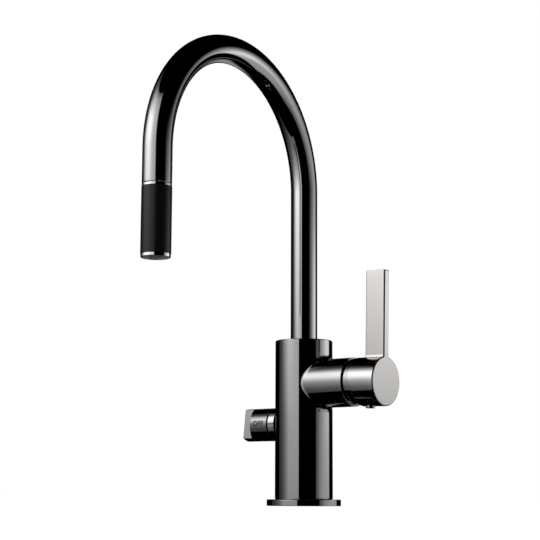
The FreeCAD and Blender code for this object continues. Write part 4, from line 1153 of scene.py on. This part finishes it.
# Studio: a pale floor, bent light cards that the mirror finish sees, and dark flags round them.
# Each light is a broad glow and a stronger strip: degrees left of the camera's heading, then metres up.
studio = {"flag": 1.6, "low": -1.0, "height": 2.4, "flagSides": 64, "flagPole": 0.001,
          "lightRadius": 0.8, "lightMiddle": (0.014, -0.2), "lightSteps": 100,
          "floorSize": 8.0, "floorTone": 0.22, "floorGlow": 0.86, "worldLight": 0.6, "worldSeen": 1.0}
lights = [
    {"name": "leftLight", "from": 49, "to": 178, "low": -0.56, "high": 1.4,
     "broad": [(49, 0.0), (51, 0.08), (60, 0.12), (70, 0.18), (80, 0.32), (90, 0.47), (100, 0.78), (110, 1.0),
               (150, 1.0), (165, 0.9), (172, 0.35), (178, 0.0)],
     "broadUp": [(-0.56, 0.2), (-0.44, 0.24), (-0.24, 0.27), (-0.04, 0.48), (0.16, 0.75), (0.36, 0.85),
                 (0.56, 0.95), (0.76, 1.0), (0.96, 0.92), (1.16, 0.68), (1.4, 0.1)],
     "strip": [(66, 0.0), (70, 0.18), (76, 0.45), (80, 0.68), (85, 0.9), (90, 1.0), (110, 1.0), (120, 0.9),
               (130, 0.6), (140, 0.2), (150, 0.0)],
     "stripUp": [(0.12, 0.0), (0.24, 0.25), (0.36, 0.7), (0.5, 1.25), (0.64, 1.4), (0.78, 1.35), (0.96, 0.6),
                 (1.16, 0.25), (1.4, 0.0)]},
    {"name": "rightLight", "from": -130, "to": -56, "low": -0.6, "high": 0.6,
     "broad": [(-130, 0.0), (-120, 0.1), (-110, 0.38), (-100, 0.7), (-90, 0.9), (-80, 1.0), (-56, 1.0)],
     "broadUp": [(-0.6, 0.3), (-0.44, 0.5), (-0.24, 0.6), (-0.04, 0.6), (0.16, 0.55), (0.36, 0.4), (0.5, 0.1),
                 (0.6, 0.0)],
     "strip": [(-100, 0.0), (-90, 0.2), (-80, 0.5), (-70, 1.0), (-60, 0.8), (-56, 0.5)],
     "stripUp": [(0.0, 0.0), (0.12, 0.4), (0.2, 0.9), (0.26, 1.1), (0.3, 0.9), (0.36, 0.5), (0.5, 0.2),
                 (0.6, 0.0)]},
    {"name": "backLight", "from": -28, "to": 10, "low": 0.0, "high": 0.4,
     "broad": [(-28, 0.0), (-22, 1.0), (0, 1.0), (10, 0.0)],
     "broadUp": [(0.0, 0.0), (0.1, 0.35), (0.2, 0.45), (0.3, 0.3), (0.4, 0.0)]},
]
frontFlag = {"start": (0.116, -0.373), "end": (0.494, -0.046), "low": -1.0, "high": 1.5}
lamps = [{"name": "keyLamp", "spot": (-0.9, -1.0, 1.1), "power": 9.0, "size": 0.8},
         {"name": "fillLamp", "spot": (1.2, 0.5, 1.0), "power": 5.0, "size": 0.8}]
lampAim = Vector((0, -0.1, 0.2))


def ramp(stops, value):
    for (x1, y1), (x2, y2) in zip(stops, stops[1:]):
        if value <= x2:
            share = max(0.0, (value - x1) / (x2 - x1))
            return y1 + (y2 - y1) * share
    return stops[-1][1]


def plainTree(name):
    material = bpy.data.materials.new(name)
    material.use_nodes = True
    tree = material.node_tree
    tree.nodes.remove(tree.nodes["Principled BSDF"])
    return material, tree


def glowMaterial():
    material, tree = plainTree("cardGlow")
    level = addNode(tree, "ShaderNodeAttribute", attribute_name="glow")
    light = addNode(tree, "ShaderNodeEmission", {"Color": level.outputs["Color"]})
    tree.links.new(light.outputs[0], tree.nodes["Material Output"].inputs["Surface"])
    return material


glow = glowMaterial()


def addStaged(name, data):
    item = bpy.data.objects.new(name, data)
    bpy.context.scene.collection.objects.link(item)
    return item


def addCard(name, rows, levels):
    points = [point for row in rows for point in row]
    count = len(rows[0])
    faces = []
    for i in range(len(rows) - 1):
        for j in range(count - 1):
            first = i * count + j
            faces.append((first, first + 1, first + count + 1, first + count))
    mesh = bpy.data.meshes.new(name)
    mesh.from_pydata(points, [], faces)
    mesh.materials.append(glow)
    paint = mesh.color_attributes.new("glow", "FLOAT_COLOR", "POINT")
    for k, value in enumerate(value for row in levels for value in row):
        paint.data[k].color = (value, value, value, 1.0)
    item = addStaged(name, mesh)
    item.visible_camera = False
    item.visible_diffuse = False
    item.visible_shadow = False
    item.visible_transmission = False


def lightPoint(degrees, z):
    a = math.radians(degrees)
    ahead = Vector((-math.sin(heading), math.cos(heading)))
    left = Vector((-math.cos(heading), -math.sin(heading)))
    away = (ahead * math.cos(a) + left * math.sin(a)) * studio["lightRadius"]
    spot = Vector(studio["lightMiddle"]) + away
    return (spot.x, spot.y, z)


def addLight(d):
    columns = spread(d["from"], d["to"], studio["lightSteps"])
    heights = spread(d["low"], d["high"], studio["lightSteps"])
    levels = []
    for z in heights:
        row = []
        for c in columns:
            broad = ramp(d["broad"], c) * ramp(d["broadUp"], z)
            strip = ramp(d["strip"], c) * ramp(d["stripUp"], z) if "strip" in d else 0.0
            row.append(broad + strip)
        levels.append(row)
    addCard(d["name"], [[lightPoint(c, z) for c in columns] for z in heights], levels)


def addFlags(drum, front):
    ring = [(drum["flag"] * math.cos(a), drum["flag"] * math.sin(a)) for a in circle(drum["flagSides"])]
    ring.append(ring[0])
    pole = drum["flagPole"]
    rows = []
    for k, z in ((pole, drum["low"]), (1.0, drum["low"]), (1.0, drum["height"]), (pole, drum["height"])):
        rows.append([(x * k, y * k, z) for x, y in ring])
    addCard("darkFlags", rows, [[0.0] * len(ring)] * len(rows))
    rows = [[front["start"] + (z,), front["end"] + (z,)] for z in (front["low"], front["high"])]
    addCard("frontFlag", rows, [[0.0] * 2] * 2)


# The floor glows and takes the shadow, and is clear from below
def floorMaterial(d):
    material, tree = plainTree("paleFloor")
    plain = addNode(tree, "ShaderNodeBsdfDiffuse", {"Color": (d["floorTone"],) * 3 + (1.0,)})
    lit = addNode(tree, "ShaderNodeEmission", {"Color": (1.0, 1.0, 1.0, 1.0), "Strength": d["floorGlow"]})
    both = addNode(tree, "ShaderNodeAddShader", {0: plain.outputs[0], 1: lit.outputs[0]})
    clear = addNode(tree, "ShaderNodeBsdfTransparent")
    below = addNode(tree, "ShaderNodeNewGeometry").outputs["Backfacing"]
    mix = addNode(tree, "ShaderNodeMixShader", {0: below, 1: both.outputs[0], 2: clear.outputs[0]})
    tree.links.new(mix.outputs[0], tree.nodes["Material Output"].inputs["Surface"])
    return material


def makeFloor(d):
    size = d["floorSize"]
    mesh = bpy.data.meshes.new("paleFloor")
    corners = [(-size, -size, 0), (size, -size, 0), (size, size, 0), (-size, size, 0)]
    mesh.from_pydata(corners, [], [(0, 1, 2, 3)])
    mesh.materials.append(floorMaterial(d))
    addStaged("paleFloor", mesh).visible_glossy = False


def makeWorld(d):
    world = bpy.data.worlds.new("studioWorld")
    bpy.context.scene.world = world
    world.use_nodes = True
    tree = world.node_tree
    path = addNode(tree, "ShaderNodeLightPath").outputs
    seen = sumUp(tree, "MAXIMUM", sumUp(tree, "MAXIMUM", path["Is Camera Ray"], path["Is Glossy Ray"]),
                 path["Is Transmission Ray"])
    level = addNode(tree, "ShaderNodeMapRange",
                    {"Value": seen, "To Min": d["worldLight"], "To Max": d["worldSeen"]})
    back = tree.nodes["Background"]
    back.inputs["Color"].default_value = (1.0, 1.0, 1.0, 1.0)
    tree.links.new(level.outputs[0], back.inputs["Strength"])


def addLamp(d):
    data = bpy.data.lights.new(d["name"], "AREA")
    data.energy = d["power"]
    data.size = d["size"]
    item = addStaged(d["name"], data)
    spot = Vector(d["spot"])
    item.location = spot
    item.rotation_euler = (lampAim - spot).to_track_quat("-Z", "Y").to_euler()
    item.visible_glossy = False


for light in lights:
    addLight(light)
addFlags(studio, frontFlag)
makeFloor(studio)
makeWorld(studio)
for lamp in lamps:
    addLamp(lamp)
bpy.context.scene.view_settings.view_transform = "Standard"
print("studio lit")
